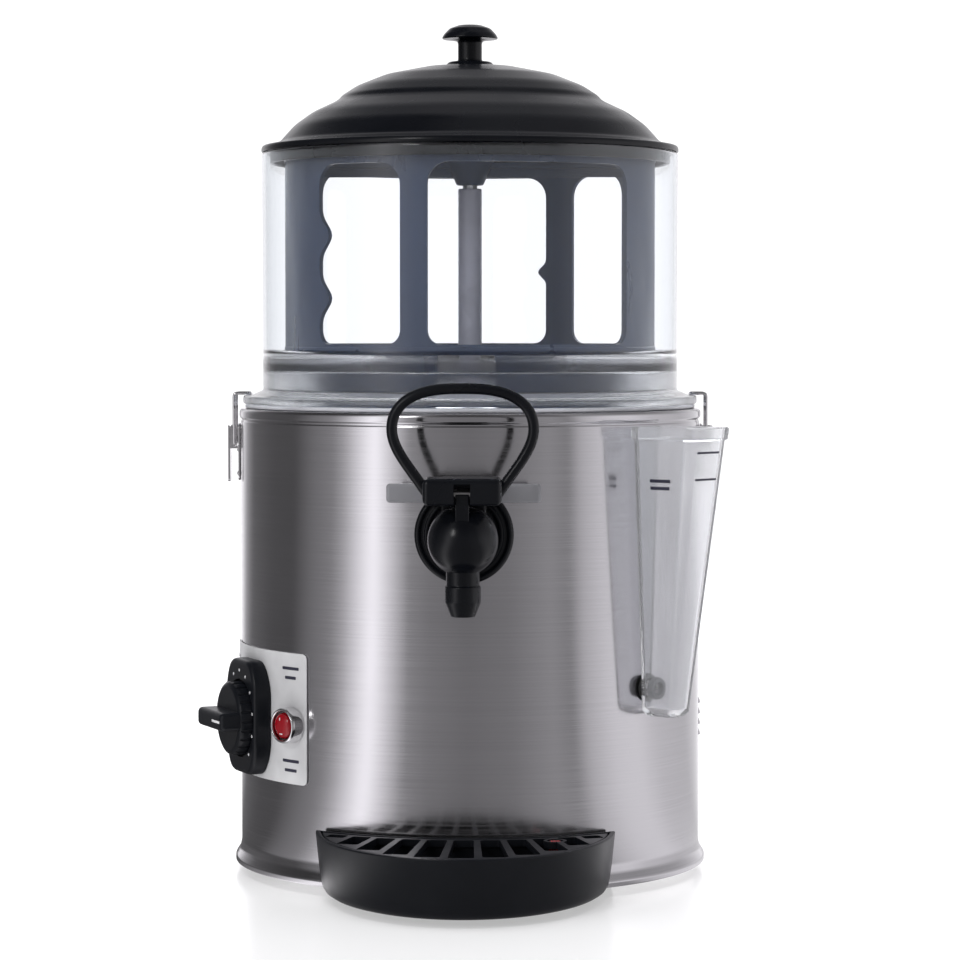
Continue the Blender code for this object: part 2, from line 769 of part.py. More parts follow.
def tapered_tub(name, inset, low, high, material=None):
    """A tub wide at the top and narrow at the bottom, in the filler's frame."""
    top = (0.0350 - 2 * inset, 0.0450 - 2 * inset)
    bottom = (0.0160 - 2 * inset, 0.0240 - 2 * inset)
    bm = bmesh.new()
    bmesh.ops.create_cube(bm, size=1.0)
    for vert in bm.verts:
        width, depth = top if vert.co.z > 0 else bottom
        vert.co.x *= width
        vert.co.y = -(FILLER_BACK + inset + depth * (0.5 - vert.co.y))
        vert.co.z = high if vert.co.z > 0 else low
    obj = place(name, mesh_of(name, bm), material)
    obj.rotation_euler = (0.0, 0.0, math.radians(FILLER_AZIMUTH))
    return obj


def make_filler():
    filler = soften(tapered_tub("water_filler", 0.0, FILLER_LOW, FILLER_HIGH, MILKY), 0.0030)
    inside = tapered_tub("filler_inside", 0.0018, FILLER_LOW + 0.002, FILLER_HIGH + 0.004)
    carve(filler, soften(inside, 0.0020))
    carve(filler, spoke("filler_hole", 0.0054, FILLER_AZIMUTH, 0.135, 0.1475, PIPE_Z))
    route = [
        radial(FILLER_AZIMUTH, 0.1450, PIPE_Z),
        radial(FILLER_AZIMUTH, 0.1200, PIPE_Z),
        radial(FILLER_AZIMUTH, 0.1143, 0.1224),
        radial(FILLER_AZIMUTH, 0.1120, 0.1280),
        radial(FILLER_AZIMUTH, 0.1120, JACKET_FLOOR - GAP),
    ]
    hollow_pipe("filler_pipe", route)


def hollow_pipe(name, route):
    """A pipe with an open bore along the whole route."""
    first = route[0] + (route[0] - route[1]).normalized() * 0.003
    last = route[-1] + (route[-1] - route[-2]).normalized() * 0.003
    pipe = as_mesh(wire(name, route, 0.0050, PLAIN_STEEL, 3), PLAIN_STEEL)
    bore = as_mesh(wire("pipe_bore", [first, *route[1:-1], last], 0.0034, None, 3))
    carve(pipe, bore)


def make_latch(side, label):
    """A toggle latch: a riveted plate, a lever on it, and a wire bail that hooks over the bowl's flange."""
    pivot = Vector((side * LATCH_REACH, 0.0, LATCH_PIVOT_Z))
    centre = (side * 0.1409, 0.0, LATCH_LOW + 0.0175)
    plate = box(f"latch_plate_{label}", (0.0010, 0.0180, 0.0350), centre, PLAIN_STEEL)
    for y in (-0.0036, 0.0036):
        fuse(plate, box("ear", (0.0044, 0.0012, 0.0056), (side * 0.1431, y, LATCH_PIVOT_Z - 0.0012)))
    half = Vector((0.0, 0.0057, 0.0))
    fuse(plate, rod("latch_pin", 0.0008, pivot - half, pivot + half, None, TINY))

    centre = (side * 0.1473, 0.0, LATCH_PIVOT_Z - 0.01545)
    lever = box(f"latch_lever_{label}", (0.0014, 0.0120, 0.0345), centre, PLAIN_STEEL)
    move_origin(lever, pivot)
    cheek_low = LATCH_PIVOT_Z - 0.0125
    cheek_high = LATCH_PIVOT_Z + 0.0018
    for y in (-0.0052, 0.0052):
        size = (0.0046, 0.0012, cheek_high - cheek_low)
        fuse(lever, box("cheek", size, (side * 0.1447, y, (cheek_low + cheek_high) / 2)))
    bail_z = LATCH_PIVOT_Z - LATCH_ARM
    half = Vector((0.0, 0.0090, 0.0))
    for drop, radius in ((0.0, 0.0011), (LATCH_ARM, 0.0014)):
        hole = pivot - Vector((0.0, 0.0, drop))
        carve(lever, rod("lever_hole", radius, hole - half, hole + half, None, TINY))

    hook_z = FLANGE_TOP + 0.0014
    half = [(LATCH_REACH, 0.0038, bail_z), (LATCH_REACH, 0.0074, bail_z)]
    half += [(LATCH_REACH, 0.0074, hook_z), (0.1345, 0.0074, hook_z)]
    line = half + [(x, -y, z) for x, y, z in half[::-1]]
    bail = as_mesh(wire("bail", [(side * x, y, z) for x, y, z in line], 0.0010, None, 1), PLAIN_STEEL)
    bail.name = f"latch_bail_{label}"
    move_origin(bail, (side * LATCH_REACH, 0.0, bail_z))


def half_ellipse(name, inset, low, high, clearance, material=None, taper=0.0):
    """An ellipse in plan, cut at the back by the shell's round at this clearance."""
    bm = bmesh.new()
    bmesh.ops.create_cone(
        bm, cap_ends=True, segments=ROUND, radius1=1.0 - taper, radius2=1.0, depth=high - low
    )
    bmesh.ops.scale(bm, vec=(TRAY_HALF - inset, TRAY_DEPTH - inset, 1.0), verts=bm.verts)
    obj = smooth(place(name, mesh_of(name, bm), material))
    obj.location = (0.0, -TRAY_CENTRE, (low + high) / 2)
    reach = SHELL_R + 0.0045 + clearance
    top = high + 0.01
    bottom = low - 0.01
    return carve(obj, turned("shell_drum", [(0.0, top), (reach, top), (reach, bottom), (0.0, bottom)]))


def make_tray():
    tray = half_ellipse("drip_tray", 0.0, TRAY_LOW, TRAY_HIGH, 0.0, BLACK, 0.045)
    carve(tray, half_ellipse("tray_recess", 0.0030, TRAY_LEDGE, TRAY_HIGH + 0.01, 0.0020))
    carve(tray, half_ellipse("tray_well", 0.0070, TRAY_LOW + 0.0035, TRAY_LEDGE + 0.001, 0.0045))
    for side in (-1, 1):
        fuse(tray, box("tab", (0.0100, 0.0180, 0.0040), (side * 0.030, -0.1400, 0.0220)))

    make_grid()


def fan_slot(angle):
    """A slot that widens with its distance from a point behind the tray, at an angle about that point."""
    near = 0.215
    far = 0.292
    spread = 0.052
    fan_back = 0.070
    bm = bmesh.new()
    bmesh.ops.create_cube(bm, size=1.0)
    for vert in bm.verts:
        span = far if vert.co.y < 0 else near
        vert.co.x *= span * spread
        vert.co.y = -span
        vert.co.z *= 0.02
    slot = place("slot", mesh_of("slot", bm), None)
    slot.location = (0.0, fan_back, GRID_TOP)
    slot.rotation_euler = (0.0, 0.0, math.radians(angle))
    return combine(slot, half_ellipse("slot_limit", 0.0085, 0.020, 0.050, 0.0060), "INTERSECT")


def make_grid():
    """The grid that lies in the tray, and the float that shows through it when the tray is full."""
    grid = half_ellipse("drip_grid", 0.0038, TRAY_LEDGE + GAP, GRID_TOP, 0.0026, BLACK)
    for k in range(-5, 6):
        carve(grid, fan_slot(3.9 * k))
    at = Vector((0.0520, -0.1500, 0.0))
    carve(grid, upright("float_hole", 0.0048, at, 0.030, 0.050, None, TINY))
    low = TRAY_LOW + 0.0039
    profile = [
        (0.0, GRID_TOP - 0.0002),
        (0.0038, GRID_TOP - 0.0002),
        (0.0038, low + 0.0050),
        (0.0075, low + 0.0050),
        (0.0075, low),
        (0.0, low),
    ]
    turned("tray_float", profile, RED, TINY).location = at


def make_rear():
    axis = axis_frame("inlet_axis", 180.0, INLET_Z)
    gland = [
        (0.0040, 0.1520),
        (0.0090, 0.1520),
        (0.0110, 0.1490),
        (0.0110, 0.1405),
        (0.0080, 0.1405),
        (0.0080, 0.1260),
        (0.0040, 0.1260),
    ]
    turned("cable_inlet", gland, BLACK, SMALL, axis)
    route = [
        Vector((DRAIN_X, 0.1480, DRAIN_Z)),
        Vector((DRAIN_X, 0.1030, DRAIN_Z)),
        Vector((DRAIN_X, 0.0972, DRAIN_Z + 0.0024)),
        Vector((DRAIN_X, 0.0950, DRAIN_Z + 0.0080)),
        Vector((DRAIN_X, 0.0950, JACKET_FLOOR - GAP)),
    ]
    hollow_pipe("drain_pipe", route)
    cap = axis_frame("drain_cap_axis", 180.0, DRAIN_Z)
    cap.location.x = DRAIN_X
    profile = [
        (0.0, 0.1510),
        (0.0072, 0.1510),
        (0.0078, 0.1370),
        (0.0054, 0.1370),
        (0.0054, 0.1486),
        (0.0, 0.1486),
    ]
    turned("drain_cap", profile, RUBBER, SMALL, cap)


def make_electrics():
    box("terminal_block", (0.0600, 0.0220, 0.0180), (0.0, 0.0950, 0.0208), GREY)
    rod("safety_cutout", 0.0085, (-0.050, 0.050, 0.1400), (-0.050, 0.050, JACKET_FLOOR - GAP), GREY)
    x, y = heater_legs()[0]
    lead = [
        (-0.012, 0.0950, 0.0302),
        (-0.012, 0.0950, 0.0360),
        (-0.014, 0.0955, 0.0500),
        (-0.020, 0.0940, 0.0850),
        (-0.015, 0.0880, 0.1150),
        (x, y, 0.1280),
        (x, y, 0.1376),
    ]
    wire("heater_lead", lead, 0.0018, WIRE, 1)
    lead = [
        (0.012, 0.0950, 0.0302),
        (0.012, 0.0950, 0.0360),
        (0.012, 0.0900, 0.0440),
        (0.008, 0.0650, 0.0560),
        (0.004, 0.0400, 0.0600),
        (0.000, 0.0300, 0.0600),
        (0.000, 0.0255, 0.0600),
    ]
    wire("motor_lead", lead, 0.0018, WIRE, 1)
    make_bulb()


def make_bulb():
    """The thermostat's sensor: a bulb in the bath water, on a thin tube from the thermostat."""
    bulb_reach = 0.0950
    bulb_z = 0.1600
    half = 0.0220
    route = (
        (0.1126, 0.104),
        (0.1100, 0.104),
        (0.1050, 0.108),
        (0.0980, 0.122),
        (bulb_reach, 0.136),
        (bulb_reach, bulb_z + 0.001),
    )
    line = [radial(CONTROLS_AZIMUTH, reach, z) for reach, z in route]
    bulb = as_mesh(wire("capillary", line, 0.0010, None, 1), BRASS)
    bulb.name = "thermostat_bulb"
    start = radial(CONTROLS_AZIMUTH, bulb_reach, bulb_z, -half)
    end = radial(CONTROLS_AZIMUTH, bulb_reach, bulb_z, half)
    fuse(bulb, rod("bulb", 0.0035, start, end, None, TINY))


make_shell()
make_base()
make_tank()
make_heater()
make_bowl()
make_drive()
make_mixer()
make_lid()
make_tap_body()
make_plunger()
make_handle()
make_controls()
make_filler()
make_latch(1, "right")
make_latch(-1, "left")
make_tray()
make_rear()
make_electrics()
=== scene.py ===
import json
import math

import bmesh
import bpy
from mathutils import Matrix, Vector


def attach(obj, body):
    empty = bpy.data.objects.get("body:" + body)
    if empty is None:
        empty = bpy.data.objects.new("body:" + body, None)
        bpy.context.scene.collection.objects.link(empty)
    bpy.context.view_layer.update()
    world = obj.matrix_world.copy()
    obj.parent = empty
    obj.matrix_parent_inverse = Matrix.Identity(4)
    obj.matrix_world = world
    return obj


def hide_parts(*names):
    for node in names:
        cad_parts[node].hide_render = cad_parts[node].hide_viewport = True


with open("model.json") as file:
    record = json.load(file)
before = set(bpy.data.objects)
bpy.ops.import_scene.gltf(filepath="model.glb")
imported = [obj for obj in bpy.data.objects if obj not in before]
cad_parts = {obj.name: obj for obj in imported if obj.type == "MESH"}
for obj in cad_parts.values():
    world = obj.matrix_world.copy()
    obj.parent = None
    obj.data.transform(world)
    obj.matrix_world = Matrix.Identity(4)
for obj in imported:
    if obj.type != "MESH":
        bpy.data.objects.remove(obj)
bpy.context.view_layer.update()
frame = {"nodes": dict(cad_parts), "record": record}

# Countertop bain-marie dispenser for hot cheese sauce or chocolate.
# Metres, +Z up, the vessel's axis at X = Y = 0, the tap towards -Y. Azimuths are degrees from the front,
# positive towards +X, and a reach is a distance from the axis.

WELD = 0.000001
CUT = {"sharp": 32.0, "flat": True}
SHELL_R = 0.140
DECK_Z = 0.2815
MIXER_R = 0.1127
TAP_Z = 0.2125
VALVE_REACH = 0.1700
PIVOT = Vector((0.0, -0.1810, 0.2375))
CONTROLS_AZIMUTH = -65.0
CONTROLS_Z = 0.0980
SWITCHES = {"front": (-46.0, 0.0980), "rear": (-82.0, 0.1050)}
FILLER_AZIMUTH = 49.0
PIPE_Z = 0.1200
INLET_Z = 0.0350
DRAIN = Vector((0.0500, 0.0, 0.0450))
BAR_REACH = 0.1490
BAR_Z = 0.2365
BLOCK_REACH = 0.1757
TRAY_TAB = Vector((0.0300, -0.1400, 0.0220))
LATCH_PIVOT_Z = 0.2690


# ---------------------------------------------------------------- shapes

def radial(azimuth, reach, height, side=0.0):
    a = math.radians(azimuth)
    along = Vector((math.sin(a), -math.cos(a), 0.0)) * reach
    across = Vector((math.cos(a), math.sin(a), 0.0)) * side
    return along + across + Vector((0.0, 0.0, height))


def moved(x, y, z):
    return Matrix.Translation((x, y, z))


def rotated(degrees, axis):
    return Matrix.Rotation(math.radians(degrees), 4, axis)


def standing(azimuth, reach, height):
    """The matrix of an upright frame at this place."""
    return Matrix.Translation(radial(azimuth, reach, height))


def outward(azimuth, height, reach=0.0):
    """The matrix of a frame whose Z points outwards at the azimuth, X across and Y up."""
    return standing(azimuth, reach, height) @ rotated(azimuth, "Z") @ rotated(90.0, "X")


def fillet(points, radius, closed=True, steps=4):
    """The outline with its corners rounded, as far as the edges leave room."""
    made = []
    count = len(points)
    for i, corner in enumerate(points):
        corner = Vector(corner)
        if not closed and i in (0, count - 1):
            made.append(corner)
            continue
        before = Vector(points[i - 1]) - corner
        after = Vector(points[(i + 1) % count]) - corner
        reach = min(radius, 0.45 * before.length, 0.45 * after.length)
        turn = before.angle(after)
        if reach < 0.00003 or turn > math.radians(172):
            made.append(corner)
            continue
        start = corner + before.normalized() * reach
        end = corner + after.normalized() * reach
        for k in range(steps + 1):
            t = k / steps
            made.append(start * (1 - t) ** 2 + corner * 2 * t * (1 - t) + end * t ** 2)
    return made


def placed(name, data):
    """A new object with this data, linked to the scene."""
    obj = bpy.data.objects.new(name, data)
    bpy.context.scene.collection.objects.link(obj)
    return obj


def baked(obj):
    """The mesh that the object's curve or modifiers make."""
    bpy.context.view_layer.update()
    return bpy.data.meshes.new_from_object(obj.evaluated_get(bpy.context.evaluated_depsgraph_get()))


def show(name, mesh, material, node="", body="dispenser", sharp=38.0, flat=False):
    """A piece of the object: its look, the CAD node that it stands for, and the body it rides on.

    Faces that meet at more than the sharp angle keep a hard edge. flat evens out the shading of cut faces.
    """
    obj = placed(name, mesh)
    mesh.materials.clear()
    mesh.shade_smooth()
    mesh.set_sharp_from_angle(angle=math.radians(sharp))
    mesh.materials.append(material)
    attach(obj, body)
    if node:
        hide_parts(node)
    if flat:
        modifier = obj.modifiers.new("Normals", "WEIGHTED_NORMAL")
        modifier.keep_sharp = True
    return obj


def mesh_from(name, bm, matrix=None):
    if matrix:
        bm.transform(matrix)
    bmesh.ops.recalc_face_normals(bm, faces=bm.faces)
    mesh = bpy.data.meshes.new(name)
    bm.to_mesh(mesh)
    bm.free()
    return mesh


def braced(points, closed):
    """The outline with two more points near the ends of each long side, which keep its shading straight."""
    made = []
    following = points[1:] + points[:1] if closed else points[1:]
    for one, two in zip(points, following):
        made.append(one)
        length = (two - one).length
        if length > 0.0030:
            made.append(one.lerp(two, 0.0004 / length))
            made.append(one.lerp(two, 1.0 - 0.0004 / length))
    if not closed:
        made.append(points[-1])
    return made


def turned_mesh(name, profile, radius=0.0004, segments=160, matrix=None, steps=4):
    """A profile of (radius, height) turned about Z, with rounded corners. It may start and end on the axis."""
    closed = profile[0][0] > 0.0
    points = braced(fillet([(r, z, 0.0) for r, z in profile], radius, closed, steps), closed)
    bm = bmesh.new()
    rings = []
    for point in points:
        if point[0] < 1e-7:
            rings.append([bm.verts.new((0.0, 0.0, point[1]))])
            continue
        ring = []
        for k in range(segments):
            a = 2 * math.pi * k / segments
            ring.append(bm.verts.new((point[0] * math.cos(a), point[0] * math.sin(a), point[1])))
        rings.append(ring)
    pairs = list(zip(rings, rings[1:]))
    if closed:
        pairs.append((rings[-1], rings[0]))
    for one, two in pairs:
        for k in range(segments):
            n = (k + 1) % segments
            if len(one) == 1 and len(two) == 1:
                continue
            if len(one) == 1:
                bm.faces.new((one[0], two[k], two[n]))
            elif len(two) == 1:
                bm.faces.new((one[k], two[0], one[n]))
            else:
                bm.faces.new((one[k], two[k], two[n], one[n]))
    return mesh_from(name, bm, matrix)


def cylinder(name, radius, high, low, matrix=None, segments=160, rounding=0.0):
    return turned_mesh(
        name, [(0, high), (radius, high), (radius, low), (0, low)], rounding, segments, matrix,
    )


def block_mesh(name, size, matrix, bevel=0.001, segments=4):
    bm = bmesh.new()
    bmesh.ops.create_cube(bm, size=1.0)
    bmesh.ops.scale(bm, vec=size, verts=bm.verts)
    bmesh.ops.bevel(bm, geom=list(bm.edges), offset=bevel, segments=segments, profile=0.5, affect="EDGES")
    return mesh_from(name, bm, matrix)


def curve_mesh(name, curve, matrix=None):
    """The solid of a curve as a welded mesh."""
    holder = placed(name, curve)
    mesh = baked(holder)
    bpy.data.objects.remove(holder)
    bm = bmesh.new()
    bm.from_mesh(mesh)
    bpy.data.meshes.remove(mesh)
    bmesh.ops.remove_doubles(bm, verts=bm.verts, dist=WELD)
    return mesh_from(name, bm, matrix)


def flat_mesh(name, outlines, thickness, bevel=0.0, matrix=None):
    """A flat plate: the first outline less the others, centred on its own plane, with rounded edges."""
    curve = bpy.data.curves.new(name, "CURVE")
    curve.dimensions = "2D"
    curve.fill_mode = "BOTH"
    curve.extrude = thickness / 2 - bevel
    curve.bevel_depth = bevel
    curve.bevel_resolution = 2
    curve.offset = -bevel
    for outline in outlines:
        spline = curve.splines.new("POLY")
        spline.points.add(len(outline) - 1)
        for point, co in zip(spline.points, outline):
            point.co = (co[0], co[1], 0.0, 1.0)
        spline.use_cyclic_u = True
    return curve_mesh(name, curve, matrix)


def bent_mesh(name, outlines, thickness, reach, step, bevel=0.0, closed=False, azimuth=0.0):
    """A flat plate bent round the vessel's axis: its X becomes a length along the round at this reach."""
    flat = flat_mesh(name, outlines, thickness, bevel)
    bm = bmesh.new()
    bm.from_mesh(flat)
    bpy.data.meshes.remove(flat)
    low = min(v.co.x for v in bm.verts)
    high = max(v.co.x for v in bm.verts)
    if closed:
        ends = [f for f in bm.faces if all(abs(abs(v.co.x) - high) < 1e-6 for v in f.verts)]
        bmesh.ops.delete(bm, geom=ends, context="FACES_ONLY")
    count = max(2, math.ceil((high - low) / step))
    for k in range(1, count):
        at = low + (high - low) * k / count
        geom = list(bm.verts) + list(bm.edges) + list(bm.faces)
        bmesh.ops.bisect_plane(bm, geom=geom, dist=1e-7, plane_co=(at, 0, 0), plane_no=(1, 0, 0))
    for vert in bm.verts:
        turn = math.degrees(vert.co.x / reach)
        vert.co = radial(azimuth + turn, reach + vert.co.z, vert.co.y)
    if closed:
        bmesh.ops.remove_doubles(bm, verts=bm.verts, dist=0.000002)
    return mesh_from(name, bm)


def lofted(name, sections, matrix=None):
    """A closed solid through sections that have the same number of points."""
    bm = bmesh.new()
    rings = [[bm.verts.new(point) for point in section] for section in sections]
    count = len(rings[0])
    for one, two in zip(rings, rings[1:]):
        for k in range(count):
            n = (k + 1) % count
            bm.faces.new((one[k], one[n], two[n], two[k]))
    bm.faces.new(rings[0])
    bm.faces.new(rings[-1])
    return mesh_from(name, bm, matrix)


def rounded_outline(low, high, radius, steps=6):
    (x0, y0), (x1, y1) = low, high
    return fillet([(x0, y0, 0), (x1, y0, 0), (x1, y1, 0), (x0, y1, 0)], radius, True, steps)


def tube_mesh(name, points, radius, kind="NURBS", sides=5):
    """A round rod along the points, smooth for NURBS and straight from point to point for POLY."""
    curve = bpy.data.curves.new(name, "CURVE")
    curve.dimensions = "3D"
    curve.bevel_depth = radius
    curve.bevel_resolution = sides
    curve.use_fill_caps = True
    curve.resolution_u = 8
    spline = curve.splines.new(kind)
    spline.points.add(len(points) - 1)
    for point, co in zip(spline.points, points):
        point.co = (*co, 1.0)
    if kind == "NURBS":
        spline.order_u = 4
        spline.use_endpoint_u = True
    return curve_mesh(name, curve)


def cut_mesh(mesh, tools, operation="DIFFERENCE"):
    """The mesh with the tools taken off or joined on."""
    name = mesh.name
    target = placed(name, mesh)
    holders = []
    for tool in tools:
        holder = placed("tool", tool)
        holders.append(holder)
        modifier = target.modifiers.new("Cut", "BOOLEAN")
        modifier.operation = operation
        modifier.object = holder
    made = baked(target)
    for holder in [target, *holders]:
        bpy.data.objects.remove(holder)
    made.name = name
    return made


# ---------------------------------------------------------------- materials

def add_node(tree, kind, sources=(), **settings):
    """A new node. Its first inputs take the sources, and a setting sets the input or property of its name."""
    made = tree.nodes.new(kind)
    for key, value in settings.items():
        if key in made.inputs:
            made.inputs[key].default_value = value
        else:
            setattr(made, key, value)
    for socket, source in zip(made.inputs, sources):
        if isinstance(source, bpy.types.NodeSocket):
            tree.links.new(source, socket)
        else:
            socket.default_value = source
    return made


def mapped(tree, value, start, end, low, high):
    """A value from start to end, mapped to low to high."""
    return add_node(tree, "ShaderNodeMapRange", (value, start, end, low, high)).outputs["Result"]


class Look:
    """A node material with short calls for the nodes that this script uses."""

    def __init__(self, name, **inputs):
        self.material = bpy.data.materials.new(name)
        self.material.use_nodes = True
        self.tree = self.material.node_tree
        self.shader = self.tree.nodes["Principled BSDF"]
        for key, value in inputs.items():
            socket = self.shader.inputs[key.replace("_", " ")]
            socket.default_value = (*value, 1.0) if isinstance(value, tuple) else value

    def add(self, kind, sources=(), **settings):
        return add_node(self.tree, kind, sources, **settings)

    def link(self, output, target):
        self.tree.links.new(output, target)

    def position(self, scale=(1.0, 1.0, 1.0)):
        where = self.add("ShaderNodeTexCoord").outputs["Object"]
        return self.add("ShaderNodeMapping", (where,), Scale=scale).outputs["Vector"]

    def noise(self, scale, detail=3.0, stretch=(1.0, 1.0, 1.0), rough=0.5):
        place = self.position(stretch)
        made = self.add("ShaderNodeTexNoise", (place,), Scale=scale, Detail=detail, Roughness=rough)
        return made.outputs["Fac"]

    def spread(self, value, low, high, start=0.35, end=0.65):
        return mapped(self.tree, value, start, end, low, high)

    def blend(self, value, first, second):
        made = self.add("ShaderNodeMix", data_type="RGBA")
        colours = [socket for socket in made.inputs if socket.type == "RGBA"]
        colours[0].default_value = (*first, 1.0)
        colours[1].default_value = (*second, 1.0)
        self.link(value, made.inputs[0])
        return next(socket for socket in made.outputs if socket.type == "RGBA")

    def bump(self, value, strength, distance):
        made = self.add("ShaderNodeBump", Strength=strength, Distance=distance)
        self.link(value, made.inputs["Height"])
        last = self.shader.inputs["Normal"]
        if last.is_linked:
            self.link(last.links[0].from_socket, made.inputs["Normal"])
        self.link(made.outputs["Normal"], last)


def brushed(name, colour, roughness, grain, strength, anisotropy=0.7):
    """Steel with fine scratches that run round it, and soft marks from handling."""
    look = Look(name, Metallic=1.0, Anisotropic=anisotropy, Anisotropic_Rotation=0.25)
    scratches = look.noise(grain, 3.0, (0.004, 0.004, 1.0), 0.6)
    marks = look.noise(14.0, 3.0)
    darker = tuple(0.93 * c for c in colour)
    tone = look.blend(look.spread(scratches, 0.0, 1.0), darker, colour)
    look.link(tone, look.shader.inputs["Base Color"])
    uneven = (look.spread(scratches, -0.05, 0.05), look.spread(marks, roughness - 0.03, roughness + 0.03))
    total = look.add("ShaderNodeMath", uneven, operation="ADD")
    look.link(total.outputs[0], look.shader.inputs["Roughness"])
    tangent = look.add("ShaderNodeTangent", direction_type="RADIAL", axis="Z")
    look.link(tangent.outputs[0], look.shader.inputs["Tangent"])
    look.bump(scratches, strength, 0.0002)
    return look.material


def moulded(name, colour, roughness, texture=0.10, gloss=0.42, scale=1500.0):
    """Moulded plastic: a fine grain, slightly uneven gloss and faint dust."""
    look = Look(name, Specular_IOR_Level=gloss)
    grain = look.noise(scale, 2.0)
    cloud = look.noise(22.0, 4.0)
    lighter = tuple(min(1.0, 1.5 * c + 0.001) for c in colour)
    look.link(look.blend(look.spread(cloud, 0.0, 0.6), colour, lighter), look.shader.inputs["Base Color"])
    look.link(look.spread(cloud, roughness - 0.05, roughness + 0.06), look.shader.inputs["Roughness"])
    look.bump(grain, texture, 0.0002)
    return look.material


def clear(name, colour, roughness, transmission=1.0, ior=1.49, ripple=0.02):
    """Clear or tinted plastic with a faint mould ripple and wipe marks."""
    look = Look(name, Base_Color=colour, Transmission_Weight=transmission, IOR=ior)
    wipes = look.noise(30.0, 5.0, (1.0, 1.0, 0.3))
    look.link(look.spread(wipes, roughness * 0.7, roughness * 1.6 + 0.01), look.shader.inputs["Roughness"])
    if ripple:
        look.bump(look.noise(45.0, 1.0), ripple, 0.0004)
    return look.material


def frosted_below(material, height, roughness):
    """Gives clear plastic a duller gloss below a height, where ribs and steps scatter the light."""
    tree = material.node_tree
    socket = tree.nodes["Principled BSDF"].inputs["Roughness"]
    plain = socket.links[0].from_socket
    where = add_node(tree, "ShaderNodeTexCoord").outputs["Object"]
    apart = add_node(tree, "ShaderNodeSeparateXYZ", (where,))
    share = mapped(tree, apart.outputs["Z"], height, height + 0.003, roughness, 0.0)
    most = add_node(tree, "ShaderNodeMath", (share, plain), operation="MAXIMUM")
    tree.links.new(most.outputs[0], socket)
    return material


def soft_rubber(name, colour, roughness):
    look = Look(name, Roughness=roughness, Sheen_Weight=0.15)
    grain = look.noise(900.0, 3.0)
    cloud = look.noise(40.0, 3.0)
    lighter = tuple(min(1.0, 1.3 * c + 0.01) for c in colour)
    look.link(look.blend(look.spread(cloud, 0.0, 1.0), colour, lighter), look.shader.inputs["Base Color"])
    look.bump(grain, 0.25, 0.0003)
    return look.material


SHELL_STEEL = brushed("shell_steel", (0.56, 0.55, 0.57), 0.16, 2600.0, 0.02, 0.55)
PLAIN_STEEL = brushed("plain_steel", (0.62, 0.61, 0.61), 0.30, 900.0, 0.05, 0.3)
POLISHED = brushed("polished_steel", (0.75, 0.74, 0.75), 0.12, 900.0, 0.02, 0.0)
BRASS = brushed("brass", (0.60, 0.44, 0.20), 0.30, 900.0, 0.06, 0.2)
BLACK = moulded("black_plastic", (0.0025, 0.003, 0.0045), 0.25, 0.05, 0.24)
SATIN_BLACK = moulded("satin_black", (0.0050, 0.0058, 0.0080), 0.34, 0.12, 0.22)
GREY = moulded("grey_plastic", (0.13, 0.13, 0.14), 0.42, 0.15)
BAR_GREY = moulded("bar_plastic", (0.20, 0.20, 0.215), 0.36, 0.08)
LABEL = moulded("label", (0.60, 0.60, 0.61), 0.40, 0.04)
MARK_DARK = moulded("mark_dark", (0.03, 0.03, 0.05), 0.45, 0.02)
MARK_WHITE = moulded("mark_white", (0.75, 0.75, 0.76), 0.45, 0.02)
BOWL = frosted_below(clear("bowl_plastic", (0.97, 0.98, 1.0), 0.012, 1.0, 1.45), 0.3105, 0.20)
SMOKE = clear("smoke_plastic", (0.050, 0.080, 0.160), 0.32, 0.25, 1.40, 0.0)
MILKY = clear("milky_plastic", (0.97, 0.975, 0.99), 0.12, 0.88, 1.35, 0.01)
COLUMN = moulded("column_plastic", (0.58, 0.57, 0.65), 0.28, 0.05)
RED = clear("red_plastic", (0.36, 0.004, 0.012), 0.14, 0.25, 1.45)
RUBBER = soft_rubber("rubber", (0.02, 0.02, 0.02), 0.75)
SILICONE = soft_rubber("silicone", (0.62, 0.62, 0.66), 0.50)
SHEATH = soft_rubber("wire_sheath", (0.28, 0.04, 0.03), 0.55)

# The studio seen from the object: azimuth in degrees and brightness, from a dark flag at the left rear,
# past a narrow strip light at the front left, to a broad light at the right.
STUDIO = (
    (-180, 1.20), (-158, 1.15), (-146, 0.42), (-135, 0.17), (-112, 0.11), (-94, 0.10), (-82, 0.24),
    (-69, 0.34), (-62, 0.60), (-55, 1.10), (-46, 1.75), (-37, 1.00), (-28, 0.38), (-18, 0.29), (0, 0.24),
    (20, 0.28), (40, 0.42), (50, 0.34), (57, 0.70), (72, 1.02), (86, 1.08), (100, 0.86), (128, 0.72),
    (150, 0.95), (163, 1.15), (180, 1.20),
)
BRIGHTEST = max(value for _, value in STUDIO)

SLOT_LOOKS = {
    "brushed_shell": SHELL_STEEL, "plain_steel": PLAIN_STEEL, "brass": BRASS, "black_plastic": SATIN_BLACK,
    "grey_plastic": GREY, "clear_plastic": BOWL, "smoky_plastic": SMOKE, "milky_plastic": MILKY,
    "silicone": SILICONE, "rubber": RUBBER, "label": LABEL, "red_plastic": RED, "wire_sheath": SHEATH,
}


def dress_nodes():
    """Every CAD node gets the detailed material of its slot."""
    for part in frame["record"]["subparts"]:
        node = frame["nodes"][part["node"]]
        node.data.materials.clear()
        node.data.materials.append(SLOT_LOOKS[part["material_slot"]])


# ---------------------------------------------------------------- body

